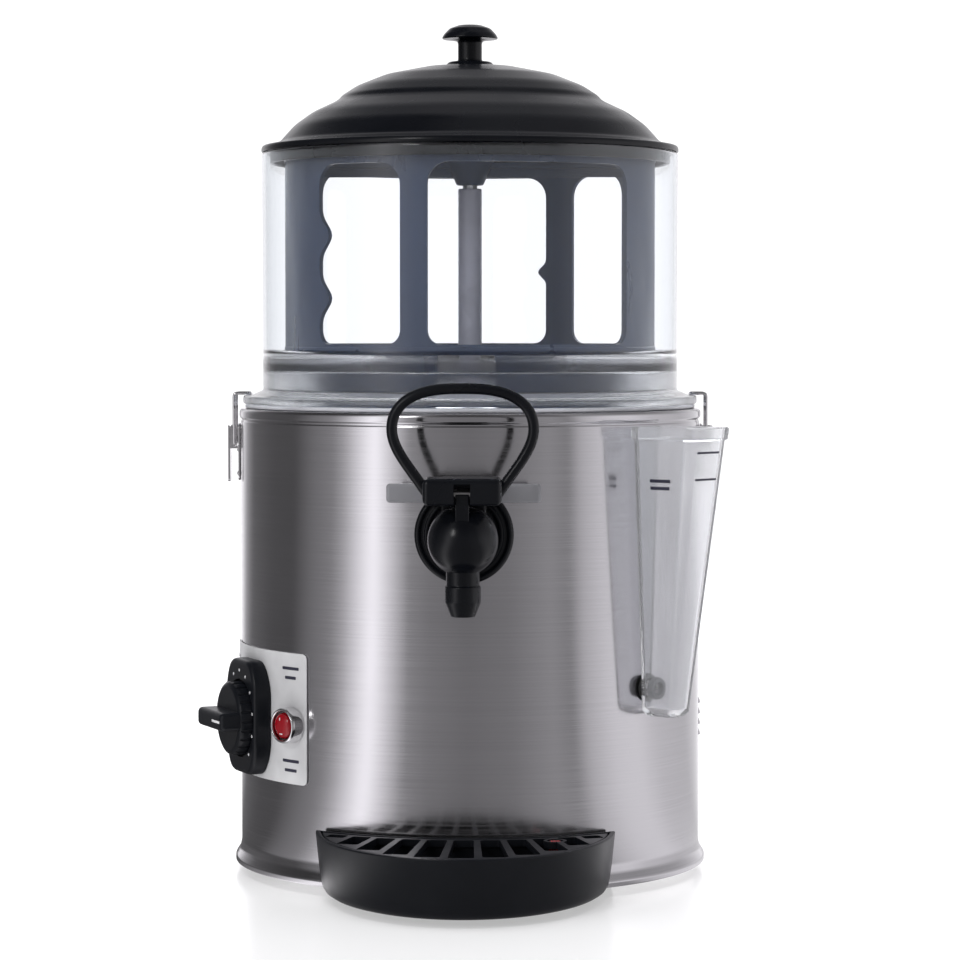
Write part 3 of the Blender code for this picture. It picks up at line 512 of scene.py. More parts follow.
def make_shell():
    inner = SHELL_R - 0.0013
    bead = SHELL_R + 0.0008
    flare = SHELL_R + 0.0037
    profile = [
        (0.1290, DECK_Z), (SHELL_R - 0.0006, DECK_Z), (bead, DECK_Z - 0.0016), (bead, DECK_Z - 0.0052),
        (SHELL_R - 0.0004, DECK_Z - 0.0064), (SHELL_R - 0.0004, DECK_Z - 0.0074),
        (SHELL_R, DECK_Z - 0.0080), (SHELL_R, 0.0180), (SHELL_R + 0.0009, 0.0135),
        (flare - 0.0006, 0.0100), (flare, 0.0088), (flare, 0.0058), (flare - 0.0013, 0.0058),
        (flare - 0.0015, 0.0090), (inner, 0.0155), (inner, DECK_Z - 0.0013), (0.1290, DECK_Z - 0.0013),
    ]
    shell = turned_mesh("outer_shell", profile, 0.0012, 256)
    tools = []
    for azimuth in (98.0, -98.0):
        for row in range(4):
            at = outward(azimuth, 0.0820 + 0.0065 * row, SHELL_R)
            tools.append(block_mesh("slot", (0.0440, 0.0024, 0.0240), at, 0.0008))
    for side in (-1, 1):
        at = moved(side * TRAY_TAB.x, -0.1370, TRAY_TAB.z)
        tools.append(block_mesh("slot", (0.0110, 0.0200, 0.0050), at, 0.0006))
    spots = ((0.0, TAP_Z, 0.0152), (FILLER_AZIMUTH, PIPE_Z, 0.0056), (180.0, INLET_Z, 0.0086))
    for azimuth, height, radius in spots:
        tools.append(cylinder("hole", radius, 0.012, -0.012, outward(azimuth, height, SHELL_R), 32))
    drain = moved(DRAIN.x, 0.13, DRAIN.z) @ rotated(90, "X")
    tools.append(cylinder("hole", 0.0056, 0.02, -0.02, drain, 32))
    shell = cut_mesh(shell, tools)
    show("shell", shell, SHELL_STEEL, "outer_shell", sharp=30.0, flat=True)
    make_louvre_hoods()
    seam = block_mesh("seam", (0.0016, 0.2560, 0.0003), outward(172.0, 0.1450, SHELL_R + 0.0001), 0.0001, 2)
    show("shell_seam", seam, PLAIN_STEEL)


def make_louvre_hoods():
    """A pressed hood over each louvre slot: a half lens that stands off the shell."""
    for side, azimuth in (("right", 98.0), ("left", -98.0)):
        for row in range(4):
            bm = bmesh.new()
            height = 0.0820 + 0.0065 * row
            across = 20
            up = 5
            grid = []
            for i in range(across + 1):
                u = -1.0 + 2.0 * i / across
                column = []
                for j in range(up + 1):
                    t = j / up
                    rise = 0.0022 * max(0.0, 1 - u ** 4) * math.cos(t * math.pi / 2)
                    point = radial(azimuth + u * 8.9, SHELL_R + 0.0002 + rise, height - 0.0012 + 0.0040 * t)
                    column.append(bm.verts.new(point))
                grid.append(column)
            for i in range(across):
                for j in range(up):
                    bm.faces.new((grid[i][j], grid[i + 1][j], grid[i + 1][j + 1], grid[i][j + 1]))
            hood = mesh_from(f"louvre_{side}_{row + 1}", bm)
            obj = show(f"louvre_{side}_{row + 1}", hood, SHELL_STEEL)
            wall = obj.modifiers.new("Wall", "SOLIDIFY")
            wall.thickness = 0.0006
            wall.offset = -1.0


def make_bowl():
    inner = 0.1240
    outer = 0.1268
    profile = [
        (inner, 0.4362), (outer, 0.4362), (outer - 0.0005, 0.2925), (0.1330, 0.2895), (0.1385, 0.2890),
        (0.1385, 0.2842), (inner - 0.0003, 0.2842), (inner - 0.0003, 0.3045), (0.1205, 0.3045),
        (0.1085, 0.2905), (0.1060, 0.2865), (0.1060, 0.2700), (0.1035, 0.2700), (0.1035, 0.2885),
        (0.1062, 0.2935), (0.1200, 0.3110), (inner - 0.0003, 0.3155),
    ]
    show("bowl_wall", turned_mesh("bowl", profile, 0.0014, 224), BOWL, "bowl")
    gasket = [(0.1090, 0.2838), (0.1372, 0.2838), (0.1372, 0.2818), (0.1090, 0.2818)]
    show("gasket", turned_mesh("gasket", gasket, 0.0009, 192), SILICONE, "bowl_gasket")
    top = DECK_Z - 0.0007
    tank = [
        (0.1075, top), (0.1284, top), (0.1284, top - 0.0013), (0.1088, top - 0.0013), (0.1088, 0.1887),
        (0.0160, 0.1887), (0.0160, 0.1440), (0.0125, 0.1440), (0.0125, 0.1900), (0.1075, 0.1900),
    ]
    tank = turned_mesh("tank", tank, 0.0040, 160)
    tube = cylinder("tube", 0.0143, 0.1412, 0.1082, outward(0, TAP_Z), 48)
    bore = cylinder("bore", 0.0127, 0.15, 0.10, outward(0, TAP_Z), 48)
    tank = cut_mesh(cut_mesh(tank, [tube], "UNION"), [bore])
    show("steel_tank", tank, PLAIN_STEEL, "product_tank", flat=True)
    column = [
        (0.0050, 0.4150), (0.0072, 0.4150), (0.0072, 0.1960), (0.0180, 0.1940), (0.0180, 0.1904),
        (0.0120, 0.1904), (0.0120, 0.1560), (0.0050, 0.1560),
    ]
    show("column", turned_mesh("column", column, 0.0010, 48), COLUMN, "centre_column")


# ---------------------------------------------------------------- stirrer

WALL_REACH = MIXER_R - 0.00125
SILL = 0.3205
HEAD = 0.4262
# Each window's start and end azimuth, and its waves: middle height, width and bulge.
WINDOWS = (
    (-50.0, -19.6, ((0.3845, 0.0370, 0.0088), (0.3475, 0.0360, 0.0088))), (-11.3, 56.0, ()),
    (121.0, 145.0, ()), (155.0, 239.0, ((0.3660, 0.0190, 0.0055),)),
)


def window_outline(start, end, waves):
    """A window's rounded outline along the stirrer's wall. Waves bulge in from its starting side."""
    scale = math.radians(1.0) * WALL_REACH
    x0 = start * scale
    x1 = end * scale
    lower = min(0.0085, 0.45 * (x1 - x0))
    upper = min(0.0130, 0.45 * (x1 - x0))
    corners = (
        (x0 + lower, SILL + lower, lower, 180), (x1 - lower, SILL + lower, lower, 270),
        (x1 - upper, HEAD - upper, upper, 0), (x0 + upper, HEAD - upper, upper, 90),
    )
    made = []
    for x, y, radius, first in corners:
        for k in range(9):
            a = math.radians(first + 11.25 * k)
            made.append((x + radius * math.cos(a), y + radius * math.sin(a), 0.0))
    for middle, width, bulge in waves:
        for k in range(8, -9, -1):
            inward = bulge * (0.5 + 0.5 * math.cos(math.pi * k / 8)) ** 1.8
            made.append((x0 + inward, middle + width / 2 * k / 8, 0.0))
    return made


def make_stirrer():
    full = math.pi * WALL_REACH
    low = 0.3165
    high = 0.4340
    outlines = [[(-full, low, 0), (full, low, 0), (full, high, 0), (-full, high, 0)]]
    for start, end, waves in WINDOWS:
        outlines.append(window_outline(start - 90.0, end - 90.0, waves))
    wall = bent_mesh("stirrer", outlines, 0.0025, WALL_REACH, 0.0040, 0.0, True, 90.0)
    basket = show("stirrer_wall", wall, SMOKE, "mixer", "stirrer", sharp=30.0)
    edge = basket.modifiers.new("Edge", "BEVEL")
    edge.width = 0.0006
    edge.segments = 2
    edge.limit_method = "ANGLE"
    edge.angle_limit = math.radians(50)
    normals = basket.modifiers.new("Normals", "WEIGHTED_NORMAL")
    normals.keep_sharp = True

    inner = MIXER_R - 0.0025
    rim = [
        (inner - 0.0004, high), (MIXER_R + 0.0007, high), (MIXER_R + 0.0007, 0.4305),
        (inner - 0.0004, 0.4305),
    ]
    show("stirrer_rim", turned_mesh("stirrer_rim", rim, 0.0010, 192), SMOKE, body="stirrer")
    skirt = [
        (inner, 0.3190), (MIXER_R + 0.0004, 0.3190), (MIXER_R + 0.0004, 0.3160), (0.0985, 0.3040),
        (0.0925, 0.2880), (0.0902, 0.2880), (0.0962, 0.3050), (inner - 0.0010, 0.3172),
    ]
    skirt = turned_mesh("skirt", skirt, 0.0008, 192)
    gap = block_mesh("gap", (0.0340, 0.0600, 0.0100), standing(0, 0.094, 0.2985), 0.002)
    show("stirrer_skirt", cut_mesh(skirt, [gap]), SMOKE, body="stirrer", flat=True)
    for side, azimuth in (("right", 90.0), ("left", -90.0)):
        length = inner - 0.0095
        arm = block_mesh(
            "arm", (0.0100, 0.0038, length), outward(azimuth, 0.4290, 0.0095 + length / 2), 0.0012,
        )
        show(f"stirrer_arm_{side}", arm, SMOKE, body="stirrer")
        rib = block_mesh(
            "rib", (0.0022, 0.0060, length), outward(azimuth, 0.4250, 0.0095 + length / 2), 0.0008,
        )
        show(f"stirrer_rib_{side}", rib, SMOKE, body="stirrer")
        outline = rounded_outline((-0.0280, 0.1965), (0.0280, 0.2900), 0.006)
        paddle = bent_mesh("paddle", [outline], 0.0018, 0.0913, 0.006, 0.0005, False, azimuth)
        show(f"stirrer_paddle_{side}", paddle, SMOKE, body="stirrer")
    hub = [
        (0.0, 0.4335), (0.0148, 0.4335), (0.0148, 0.4315), (0.0080, 0.4170), (0.0050, 0.4170),
        (0.0050, 0.4250), (0.0, 0.4250),
    ]
    show("stirrer_hub", turned_mesh("hub", hub, 0.0010, 64), SMOKE, body="stirrer")


# ---------------------------------------------------------------- lid

def make_lid():
    crown = [(0.0280, 0.4886), (0.0520, 0.4838), (0.0690, 0.4770), (0.0780, 0.4712)]
    step = [(0.0802, 0.4686), (0.0832, 0.4668)]
    shoulder = [(0.0960, 0.4608), (0.1070, 0.4529), (0.1130, 0.4462), (0.1160, 0.4428), (0.1200, 0.4416)]
    rim = [
        (0.1262, 0.4404), (0.1270, 0.4390), (0.1270, 0.4366), (0.1218, 0.4366), (0.1218, 0.4295),
        (0.1196, 0.4295),
    ]
    outside = [(0.0, 0.4922), (0.0130, 0.4920), (0.0146, 0.4899), *crown, *step, *shoulder]
    under = [(r - 0.0010, z - 0.0026) for r, z in [*crown, *step, *shoulder[:3]]][::-1]
    profile = [*outside, *rim, (0.1196, 0.4388), (0.1125, 0.4420), *under, (0.0, 0.4874)]
    show("lid_dome", turned_mesh("lid", profile, 0.0030, 224), BLACK, "lid", "lid", sharp=50.0)
    knob = [
        (0.0, 0.5145), (0.0070, 0.5142), (0.0125, 0.5122), (0.0158, 0.5088), (0.0170, 0.5066),
        (0.0166, 0.5058), (0.0120, 0.5054), (0.0078, 0.5044), (0.0073, 0.5030), (0.0073, 0.4934),
        (0.0078, 0.4924), (0.0, 0.4924),
    ]
    show("knob", turned_mesh("knob", knob, 0.0009, 96), BLACK, "lid_knob", "lid", sharp=50.0)


# ---------------------------------------------------------------- tap

def make_tap():
    valve = radial(0, VALVE_REACH, 0.0)
    at_valve = Matrix.Translation(valve)
    ball = []
    for k in range(31):
        a = math.radians(6 * k)
        ball.append((0.0200 * math.sin(a), TAP_Z - 0.0015 + 0.0200 * math.cos(a)))
    ball[0] = (0.0, ball[0][1])
    ball[-1] = (0.0, ball[-1][1])
    body = turned_mesh("tap", ball, 0.0, 72, at_valve)
    shank = [(0.0, 0.1640), (0.0115, 0.1640), (0.0115, 0.1100), (0.0, 0.1100)]
    shank = turned_mesh("shank", shank, 0.0004, 48, outward(0, TAP_Z))
    neck = turned_mesh(
        "neck", [(0, 0.2280), (0.0112, 0.2280), (0.0118, TAP_Z), (0, TAP_Z)], 0.0006, 48, at_valve,
    )
    spout = [
        (0.0, 0.2050), (0.0094, 0.2050), (0.0094, 0.1856), (0.0102, 0.1850), (0.0102, 0.1762),
        (0.0068, 0.1680), (0.0, 0.1680),
    ]
    spout = turned_mesh("spout", spout, 0.0007, 48, at_valve)
    lug = block_mesh("lug", (0.0250, 0.0110, 0.0380), standing(0, 0.1508, 0.2272), 0.0012)
    ear = block_mesh(
        "ear", (0.0076, 0.0100, 0.0270), Matrix.Translation(PIVOT - Vector((0, 0, 0.0135))), 0.0006,
    )
    body = cut_mesh(body, [shank, neck, spout, lug, ear], "UNION")
    chamber = cylinder("chamber", 0.0078, 0.2400, 0.1880, at_valve, 40)
    outlet = [
        (0, 0.1890), (0.0042, 0.1890), (0.0044, 0.1720), (0.0056, 0.1676), (0.0056, 0.1600), (0, 0.1600),
    ]
    outlet = turned_mesh("outlet", outlet, 0.0, 32, at_valve)
    slot = block_mesh("slot", (0.0400, 0.0058, 0.0118), standing(0, BAR_REACH, BAR_Z), 0.0005)
    bore = cylinder("bore", 0.0062, 0.1700, 0.1000, outward(0, TAP_Z), 32)
    pin = Matrix.Translation(PIVOT) @ rotated(90, "Y")
    hole = cylinder("hole", 0.0024, 0.010, -0.010, pin, 24)
    body = cut_mesh(body, [chamber, outlet, slot, bore, hole])
    show("tap_casting", body, BLACK, "tap_body", **CUT)

    back = SHELL_R + 0.0004
    rings = [
        (0.0152, back), (0.0284, back), (0.0284, back + 0.0030), (0.0270, back + 0.0044),
        (0.0256, back + 0.0044),
    ]
    rings += [
        (0.0248, back + 0.0030), (0.0228, back + 0.0030), (0.0222, back + 0.0042), (0.0206, back + 0.0042),
    ]
    rings += [
        (0.0198, back + 0.0028), (0.0180, back + 0.0028), (0.0174, back + 0.0044), (0.0152, back + 0.0044),
    ]
    plate = turned_mesh("escutcheon", rings, 0.0006, 96, outward(0, TAP_Z))
    gap = block_mesh("gap", (0.0260, 0.0200, 0.0300), standing(0, BAR_REACH, BAR_Z - 0.0005), 0.0005)
    plate = cut_mesh(plate, [gap])
    show("tap_plate", plate, BLACK, "tap_escutcheon", **CUT)

    bar = block_mesh("bar", (0.0880, 0.0050, 0.0110), standing(0, BAR_REACH, BAR_Z), 0.0022, 6)
    show("lock_bar", bar, BAR_GREY, "tap_lock_bar", "lock_bar")


def make_handle():
    """The lever's block over the valve, with a finger loop that rises from its sides."""
    block = block_mesh("block", (0.0440, 0.0315, 0.0150), standing(0, BLOCK_REACH, 0.2390), 0.0032, 5)
    half = [
        (0.0, 0.2963), (0.0130, 0.2962), (0.0262, 0.2935), (0.0362, 0.2868), (0.0402, 0.2775),
        (0.0396, 0.2680), (0.0352, 0.2590), (0.0292, 0.2505), (0.0240, 0.2434), (0.0204, 0.2380),
        (0.0174, 0.2340),
    ]
    left = [(-x, z) for x, z in half[1:]][::-1]
    line = [Vector((x, -0.1720, z)) for x, z in left + half]
    loop = tube_mesh("loop", line, 0.0031, "NURBS", 7)
    block = cut_mesh(block, [loop], "UNION")
    top = PIVOT.z + 0.0060
    lug_slot = block_mesh("slot", (0.0092, 0.0500, 0.0400), standing(0, BLOCK_REACH, top - 0.0200), 0.0004)
    neck_slot = block_mesh("slot", (0.0250, 0.0400, 0.0400), standing(0, 0.1580, top - 0.0202), 0.0004)
    block = cut_mesh(block, [lug_slot, neck_slot])
    show("tap_lever", block, BLACK, "tap_handle", "tap_lever", **CUT)


# ---------------------------------------------------------------- controls

def make_controls():
    low = 0.0630
    high = 0.1400
    half = math.radians(23.8) * SHELL_R
    outline = rounded_outline((-half, low), (half, high), 0.0040)
    plate = bent_mesh(
        "plate", [outline], 0.0008, SHELL_R + 0.0008, 0.004, 0.0001, False, CONTROLS_AZIMUTH + 0.2,
    )
    show("label_plate", plate, LABEL, "control_plate")
    rows = ((0.1310, 0.0150), (0.1255, 0.0100), (0.0765, 0.0150), (0.0710, 0.0110))
    for name, (azimuth, _) in SWITCHES.items():
        for index, (height, width) in enumerate(rows):
            mark = rounded_outline((-width / 2, height - 0.0009), (width / 2, height + 0.0009), 0.0005)
            mark = bent_mesh("mark", [mark], 0.0001, SHELL_R + 0.00128, 0.004, 0.0, False, azimuth - 0.8)
            show(f"label_mark_{name}_{index + 1}", mark, MARK_DARK)

    face = 0.1500
    shape = [(-0.0250, -0.0200), (-0.0170, -0.0340), (0.0170, -0.0340), (0.0250, -0.0200)]
    shape += [(0.0250, 0.0200), (0.0170, 0.0340), (-0.0170, 0.0340), (-0.0250, 0.0200)]
    shape = fillet([(x, y, 0.0) for x, y in shape], 0.0110, True, 7)
    at = outward(CONTROLS_AZIMUTH, 0.0990, (0.1330 + face) / 2)
    housing = flat_mesh("housing", [shape], face - 0.1330, 0.0026, at)
    drum = cylinder("drum", SHELL_R + 0.0016, 0.16, 0.04, None, 256)
    dial_frame = outward(CONTROLS_AZIMUTH, CONTROLS_Z)
    recess = [(0, 0.16), (0.0240, 0.16), (0.0232, 0.1475), (0.0060, 0.1475), (0.0060, 0.13), (0, 0.13)]
    recess = turned_mesh("recess", recess,
                         0.0006, 96, dial_frame)
    housing = cut_mesh(housing, [drum, recess])
    show("thermostat_frame", housing, SATIN_BLACK, "thermostat_housing", **CUT)
    for k in range(11):
        a = math.radians(225.0 - 27.0 * k)
        shift = moved(0.0225 * math.cos(a), 0.0, face + 0.00012)
        spot = outward(CONTROLS_AZIMUTH, CONTROLS_Z + 0.0285 * math.sin(a)) @ shift
        dot = cylinder("dot", 0.0009, 0.0001, -0.0001, spot, 16, 0.00003)
        show(f"dial_dot_{k + 1}", dot, MARK_WHITE)

    knob = [
        (0, 0.1578), (0.0196, 0.1578), (0.0214, 0.1568), (0.0220, 0.1550), (0.0220, 0.1490),
        (0.0214, 0.1480),
    ]
    knob += [(0.0040, 0.1480), (0.0040, 0.1280), (0, 0.1280)]
    knob = turned_mesh("dial", knob, 0.0008, 96, dial_frame)
    ridge = block_mesh(
        "ridge", (0.0430, 0.0110, 0.0140), outward(CONTROLS_AZIMUTH, CONTROLS_Z, 0.1625), 0.0030, 6,
    )
    grips = []
    for k in range(24):
        turn = rotated(15.0 * k, "Z") @ moved(0.0226, 0.0, 0.0)
        grips.append(cylinder("grip", 0.0013, 0.160, 0.146, dial_frame @ turn, 12))
    knob = cut_mesh(cut_mesh(knob, grips), [ridge], "UNION")
    show("dial_knob", knob, SATIN_BLACK, "thermostat_knob", "dial", **CUT)
    shift = moved(0.0125, 0.0, 0.16955)
    line = block_mesh(
        "line", (0.0130, 0.0014, 0.0004), outward(CONTROLS_AZIMUTH, CONTROLS_Z) @ shift, 0.0001, 2,
    )
    show("dial_line", line, MARK_WHITE, body="dial")
    for label, (azimuth, height) in SWITCHES.items():
        make_switch(azimuth, height, label)


def make_switch(azimuth, height, label):
    axis = outward(azimuth, height)
    bezel = [
        (0, 0.1195), (0.0086, 0.1195), (0.0086, 0.1492), (0.0092, 0.1500), (0.0099, 0.1498),
        (0.0105, 0.1485),
    ]
    bezel += [(0.0107, 0.1422), (0.0107, 0.1416), (0.0095, 0.1416), (0.0095, 0.1180), (0, 0.1180)]
    bezel = turned_mesh("bezel", bezel, 0.0005, 72, axis)
    show(f"bezel_{label}", bezel, POLISHED, f"switch_bezel_{label}")
    pivot = outward(azimuth, height, 0.1460) @ rotated(6.0, "X")
    cap = [
        (0, 0.0050), (0.0030, 0.0049), (0.0055, 0.0042), (0.0072, 0.0029), (0.0077, 0.0012), (0.0077, 0),
        (0, 0),
    ]
    cap = turned_mesh("cap", cap, 0.0009, 64, pivot)
    show(f"rocker_{label}", cap, RED, f"switch_rocker_{label}", f"rocker_{label}")
    for name, shift, size in (
        ("bar", 0.0042, (0.0007, 0.0026, 0.0003)), ("dash", -0.0042, (0.0026, 0.0007, 0.0003)),
    ):
        mark = block_mesh("mark", size, pivot @ moved(0.0, shift, 0.00452), 0.0001, 2)
        show(f"rocker_{label}_{name}", mark, MARK_WHITE, body=f"rocker_{label}")


# ---------------------------------------------------------------- water filler

def filler_width(height):
    return 0.0160 + (0.0350 - 0.0160) * height


def filler_depth(height):
    return 0.0240 + (0.0450 - 0.0240) * height


def tub_section(height, inset):
    """The filler's rounded section at a height from 0 to 1: wide and deep above, narrow below."""
    width = filler_width(height) - 2 * inset
    depth = filler_depth(height) - 2 * inset
    corner = 0.0030 + 0.0020 * height
    return rounded_outline((-width / 2, 0.1420 + inset), (width / 2, 0.1420 + inset + depth), corner, 5)


def make_filler():
    low = 0.1040
    high = 0.2730
    floor = 0.0022
    wall = 0.0016
    turn = rotated(FILLER_AZIMUTH, "Z")
    rim = 0.0070
    levels = [(low, 0.0030), (low + 0.0008, 0.0014), (low + 0.0030, 0.0)]
    levels += [(high - rim - 0.0008, 0.0), (high - rim, -0.0012), (high - 0.0006, -0.0012), (high, -0.0004)]
    levels += [
        (high, wall - 0.0005), (high - 0.0006, wall), (low + floor + 0.003, wall),
        (low + floor, wall + 0.003),
    ]
    sections = []
    for z, inset in levels:
        sections.append([(p[0], -p[1], z) for p in tub_section((z - low) / (high - low), inset)])
    tub = lofted("filler", sections, turn)
    hole = cylinder("hole", 0.0054, 0.1475, 0.13, outward(FILLER_AZIMUTH, PIPE_Z), 32)
    tub = cut_mesh(tub, [hole])
    show("filler_cup", tub, MILKY, "water_filler", **CUT)
    ring = [(0.0056, 0.1413), (0.0085, 0.1413), (0.0080, 0.1404), (0.0056, 0.1404)]
    show(
        "filler_grommet", turned_mesh("grommet", ring, 0.0003, 48, outward(FILLER_AZIMUTH, PIPE_Z)),
        RUBBER,
    )
    nut = [(0.0036, 0.1500), (0.0062, 0.1500), (0.0066, 0.1480), (0.0066, 0.1462), (0.0036, 0.1462)]
    show("filler_nut", turned_mesh("nut", nut, 0.0004, 48, outward(FILLER_AZIMUTH, PIPE_Z)), GREY)
    tilt = Matrix.Rotation(math.atan2(0.0095, high - low), 4, "Y")
    for index, (height, length) in enumerate(((0.2420, 0.0150), (0.2378, 0.0140))):
        share = (height - low) / (high - low)
        middle = 0.1420 + filler_depth(share) / 2
        side = -filler_width(share) / 2 - 0.0001
        at = turn @ moved(side, -middle, height) @ tilt.inverted()
        mark = block_mesh("mark", (0.0003, length, 0.0019), at, 0.0001, 2)
        show(f"filler_mark_{index + 1}", mark, MARK_DARK)
    lean = Matrix.Rotation(math.atan2(0.0210, high - low), 4, "X")
    for index, (height, width) in enumerate(((0.2585, 0.0200), (0.2430, 0.0190))):
        share = (height - low) / (high - low)
        front = 0.1420 + filler_depth(share)
        at = turn @ moved(0.0, -front - 0.0001, height) @ lean
        mark = block_mesh("line", (width, 0.0003, 0.0012), at, 0.0001, 2)
        show(f"filler_line_{index + 1}", mark, MARK_DARK)


# ---------------------------------------------------------------- latches

def make_latch(side, label):
    at = outward(90.0 * side, 0.0)
    low = 0.2370
    plate = flat_mesh(
        "plate", [rounded_outline((-0.0090, low), (0.0090, low + 0.0350), 0.0040)], 0.0010, 0.0002,
        at @ moved(0, 0, 0.1409),
    )
    ears = []
    for x in (-0.0036, 0.0036):
        ears.append(
            block_mesh(
                "ear", (0.0012, 0.0056, 0.0044), at @ moved(x, LATCH_PIVOT_Z - 0.0012, 0.1431), 0.0004, 2,
            ),
        )
    pin = at @ moved(0, LATCH_PIVOT_Z, 0.1440) @ rotated(90, "Y")
    ears.append(cylinder("pin", 0.0008, 0.0057, -0.0057, pin, 20, 0.0002))
    plate = cut_mesh(plate, ears, "UNION")
    show(f"latch_base_{label}", plate, POLISHED, f"latch_plate_{label}", sharp=32.0)
    for index, height in enumerate((low + 0.0045, low + 0.0190)):
        for x in (-0.0068, 0.0068):
            head = [(0, 0.0009), (0.0008, 0.0008), (0.0015, 0.0002), (0.0015, 0), (0, 0)]
            head = turned_mesh("rivet", head, 0.0002, 24, at @ moved(x, height, 0.1414))
            tag = "a" if x < 0 else "b"
            show(f"latch_rivet_{label}_{index + 1}{tag}", head, POLISHED)

    top = LATCH_PIVOT_Z + 0.0018
    outline = rounded_outline((-0.0060, top - 0.0345), (0.0060, top), 0.0022)
    lever = flat_mesh("lever", [outline], 0.0014, 0.0003, at @ moved(0, 0, 0.1473))
    cheeks = []
    for x in (-0.0052, 0.0052):
        centre = (x, LATCH_PIVOT_Z - 0.00535, 0.1447)
        cheeks.append(
            block_mesh("cheek", (0.0012, 0.0143, 0.0046), at @ Matrix.Translation(centre), 0.0003, 2),
        )
    lever = cut_mesh(lever, cheeks, "UNION")
    holes = []
    for height, radius in ((LATCH_PIVOT_Z, 0.0011), (LATCH_PIVOT_Z - 0.0100, 0.0014)):
        hole = at @ moved(0, height, 0.1440) @ rotated(90, "Y")
        holes.append(cylinder("hole", radius, 0.009, -0.009, hole, 20))
    lever = cut_mesh(lever, holes)
    show(f"latch_arm_{label}", lever, POLISHED, f"latch_lever_{label}", f"lever_{label}", sharp=32.0)

    bail_z = LATCH_PIVOT_Z - 0.0100
    hook_z = 0.2904
    half = [
        (0.0038, bail_z, 0.1440), (0.0074, bail_z, 0.1440), (0.0074, hook_z, 0.1440),
        (0.0074, hook_z, 0.1345),
    ]
    line = half + [(-x, y, z) for x, y, z in half[::-1]]
    line = fillet(line, 0.0022, False, 5)
    bail = tube_mesh("bail", [at @ Vector(p) for p in line], 0.0010, "POLY", 3)
    show(f"latch_wire_{label}", bail, POLISHED, f"latch_bail_{label}", f"bail_{label}")


# ---------------------------------------------------------------- tray

def ellipse_arc(inset, clearance, front_steps=72, back_steps=40):
    """The tray's outline in plan: the front of an ellipse, closed by an arc that follows the shell."""
    half = 0.0870 - inset
    depth = 0.1120 - inset
    reach = SHELL_R + 0.0045 + clearance
    inside = -0.5
    outside = 0.5 * math.pi
    for _ in range(40):
        start = (inside + outside) / 2
        beyond = math.hypot(half * math.cos(start), 0.1100 + depth * math.sin(start)) > reach
        inside, outside = (inside, start) if beyond else (start, outside)
    made = []
    for k in range(front_steps + 1):
        a = start + (math.pi - 2 * start) * k / front_steps
        made.append((half * math.cos(a), -0.1100 - depth * math.sin(a), 0.0))
    turn = math.atan2(made[0][0], -made[0][1])
    for k in range(1, back_steps):
        a = -turn + 2 * turn * k / back_steps
        made.append((math.sin(a) * reach, -math.cos(a) * reach, 0.0))
    return made


def make_tray():
    low = 0.0040
    high = 0.0390
    ledge = 0.0343
    levels = [
        (low, 0.0095, 0.0010), (low + 0.0006, 0.0072, 0.0005), (low + 0.0020, 0.0050, 0.0),
        (low + 0.0042, 0.0037, 0.0), (low + 0.0075, 0.0030, 0.0), (0.0200, 0.0018, 0.0),
        (high - 0.0010, 0.0, 0.0), (high - 0.0003, 0.0003, 0.0002), (high, 0.0010, 0.0006),
        (high, 0.0022, 0.0014), (high - 0.0005, 0.0030, 0.0020), (ledge, 0.0030, 0.0020),
        (ledge, 0.0070, 0.0045), (low + 0.0055, 0.0085, 0.0055), (low + 0.0035, 0.0110, 0.0070),
    ]
    sections = []
    for z, inset, clearance in levels:
        sections.append([(x, y, z) for x, y, _ in ellipse_arc(inset, clearance)])
    tray = lofted("tray", sections)
    tabs = []
    for side in (-1, 1):
        tabs.append(
            block_mesh(
                "tab", (0.0100, 0.0180, 0.0040), moved(side * TRAY_TAB.x, TRAY_TAB.y, TRAY_TAB.z), 0.0006,
            ),
        )
    tray = cut_mesh(tray, tabs, "UNION")
    show("tray_dish", tray, SATIN_BLACK, "drip_tray", "tray", **CUT)

    top = 0.0386
    low = ledge + 0.0003
    grid = flat_mesh("grid", [ellipse_arc(0.0038, 0.0026)], top - low, 0.0007, moved(0, 0, (low + top) / 2))
    fan = Vector((0.0, 0.070, 0.0))
    limit = [Vector(p) for p in ellipse_arc(0.0085, 0.0060, 200, 100)]
    slots = []
    for k in range(-5, 6):
        a = math.radians(3.9 * k)
        middle = Vector((math.sin(a), -math.cos(a), 0.0))
        across = Vector((math.cos(a), math.sin(a), 0.0))
        near, far = slot_reach(fan, middle, limit)
        corners = [fan + middle * near - across * near * 0.0260, fan + middle * far - across * far * 0.0260]
        corners += [
            fan + middle * far + across * far * 0.0260, fan + middle * near + across * near * 0.0260,
        ]
        outline = fillet(corners, 0.0022, True, 5)
        slots.append(flat_mesh("slot", [outline], 0.03, 0.0, moved(0, 0, top)))
    middle = Vector((0.0520, -0.1500, 0.0))
    boss = cylinder("boss", 0.0066, top, low, Matrix.Translation(middle), 40)
    hole = cylinder("hole", 0.0048, 0.05, 0.02, Matrix.Translation(middle), 32)
    grid = cut_mesh(cut_mesh(cut_mesh(grid, slots), [boss], "UNION"), [hole])
    show("tray_grid", grid, SATIN_BLACK, "drip_grid", "grid", **CUT)
    low = 0.0079
    stem = [
        (0, 0.0384), (0.0030, 0.0383), (0.0038, 0.0374), (0.0038, low + 0.0050), (0.0075, low + 0.0050),
        (0.0075, low), (0, low),
    ]
    stem = turned_mesh("float", stem, 0.0004, 40, Matrix.Translation(middle))
    show("float", stem, RED, "tray_float", "float")


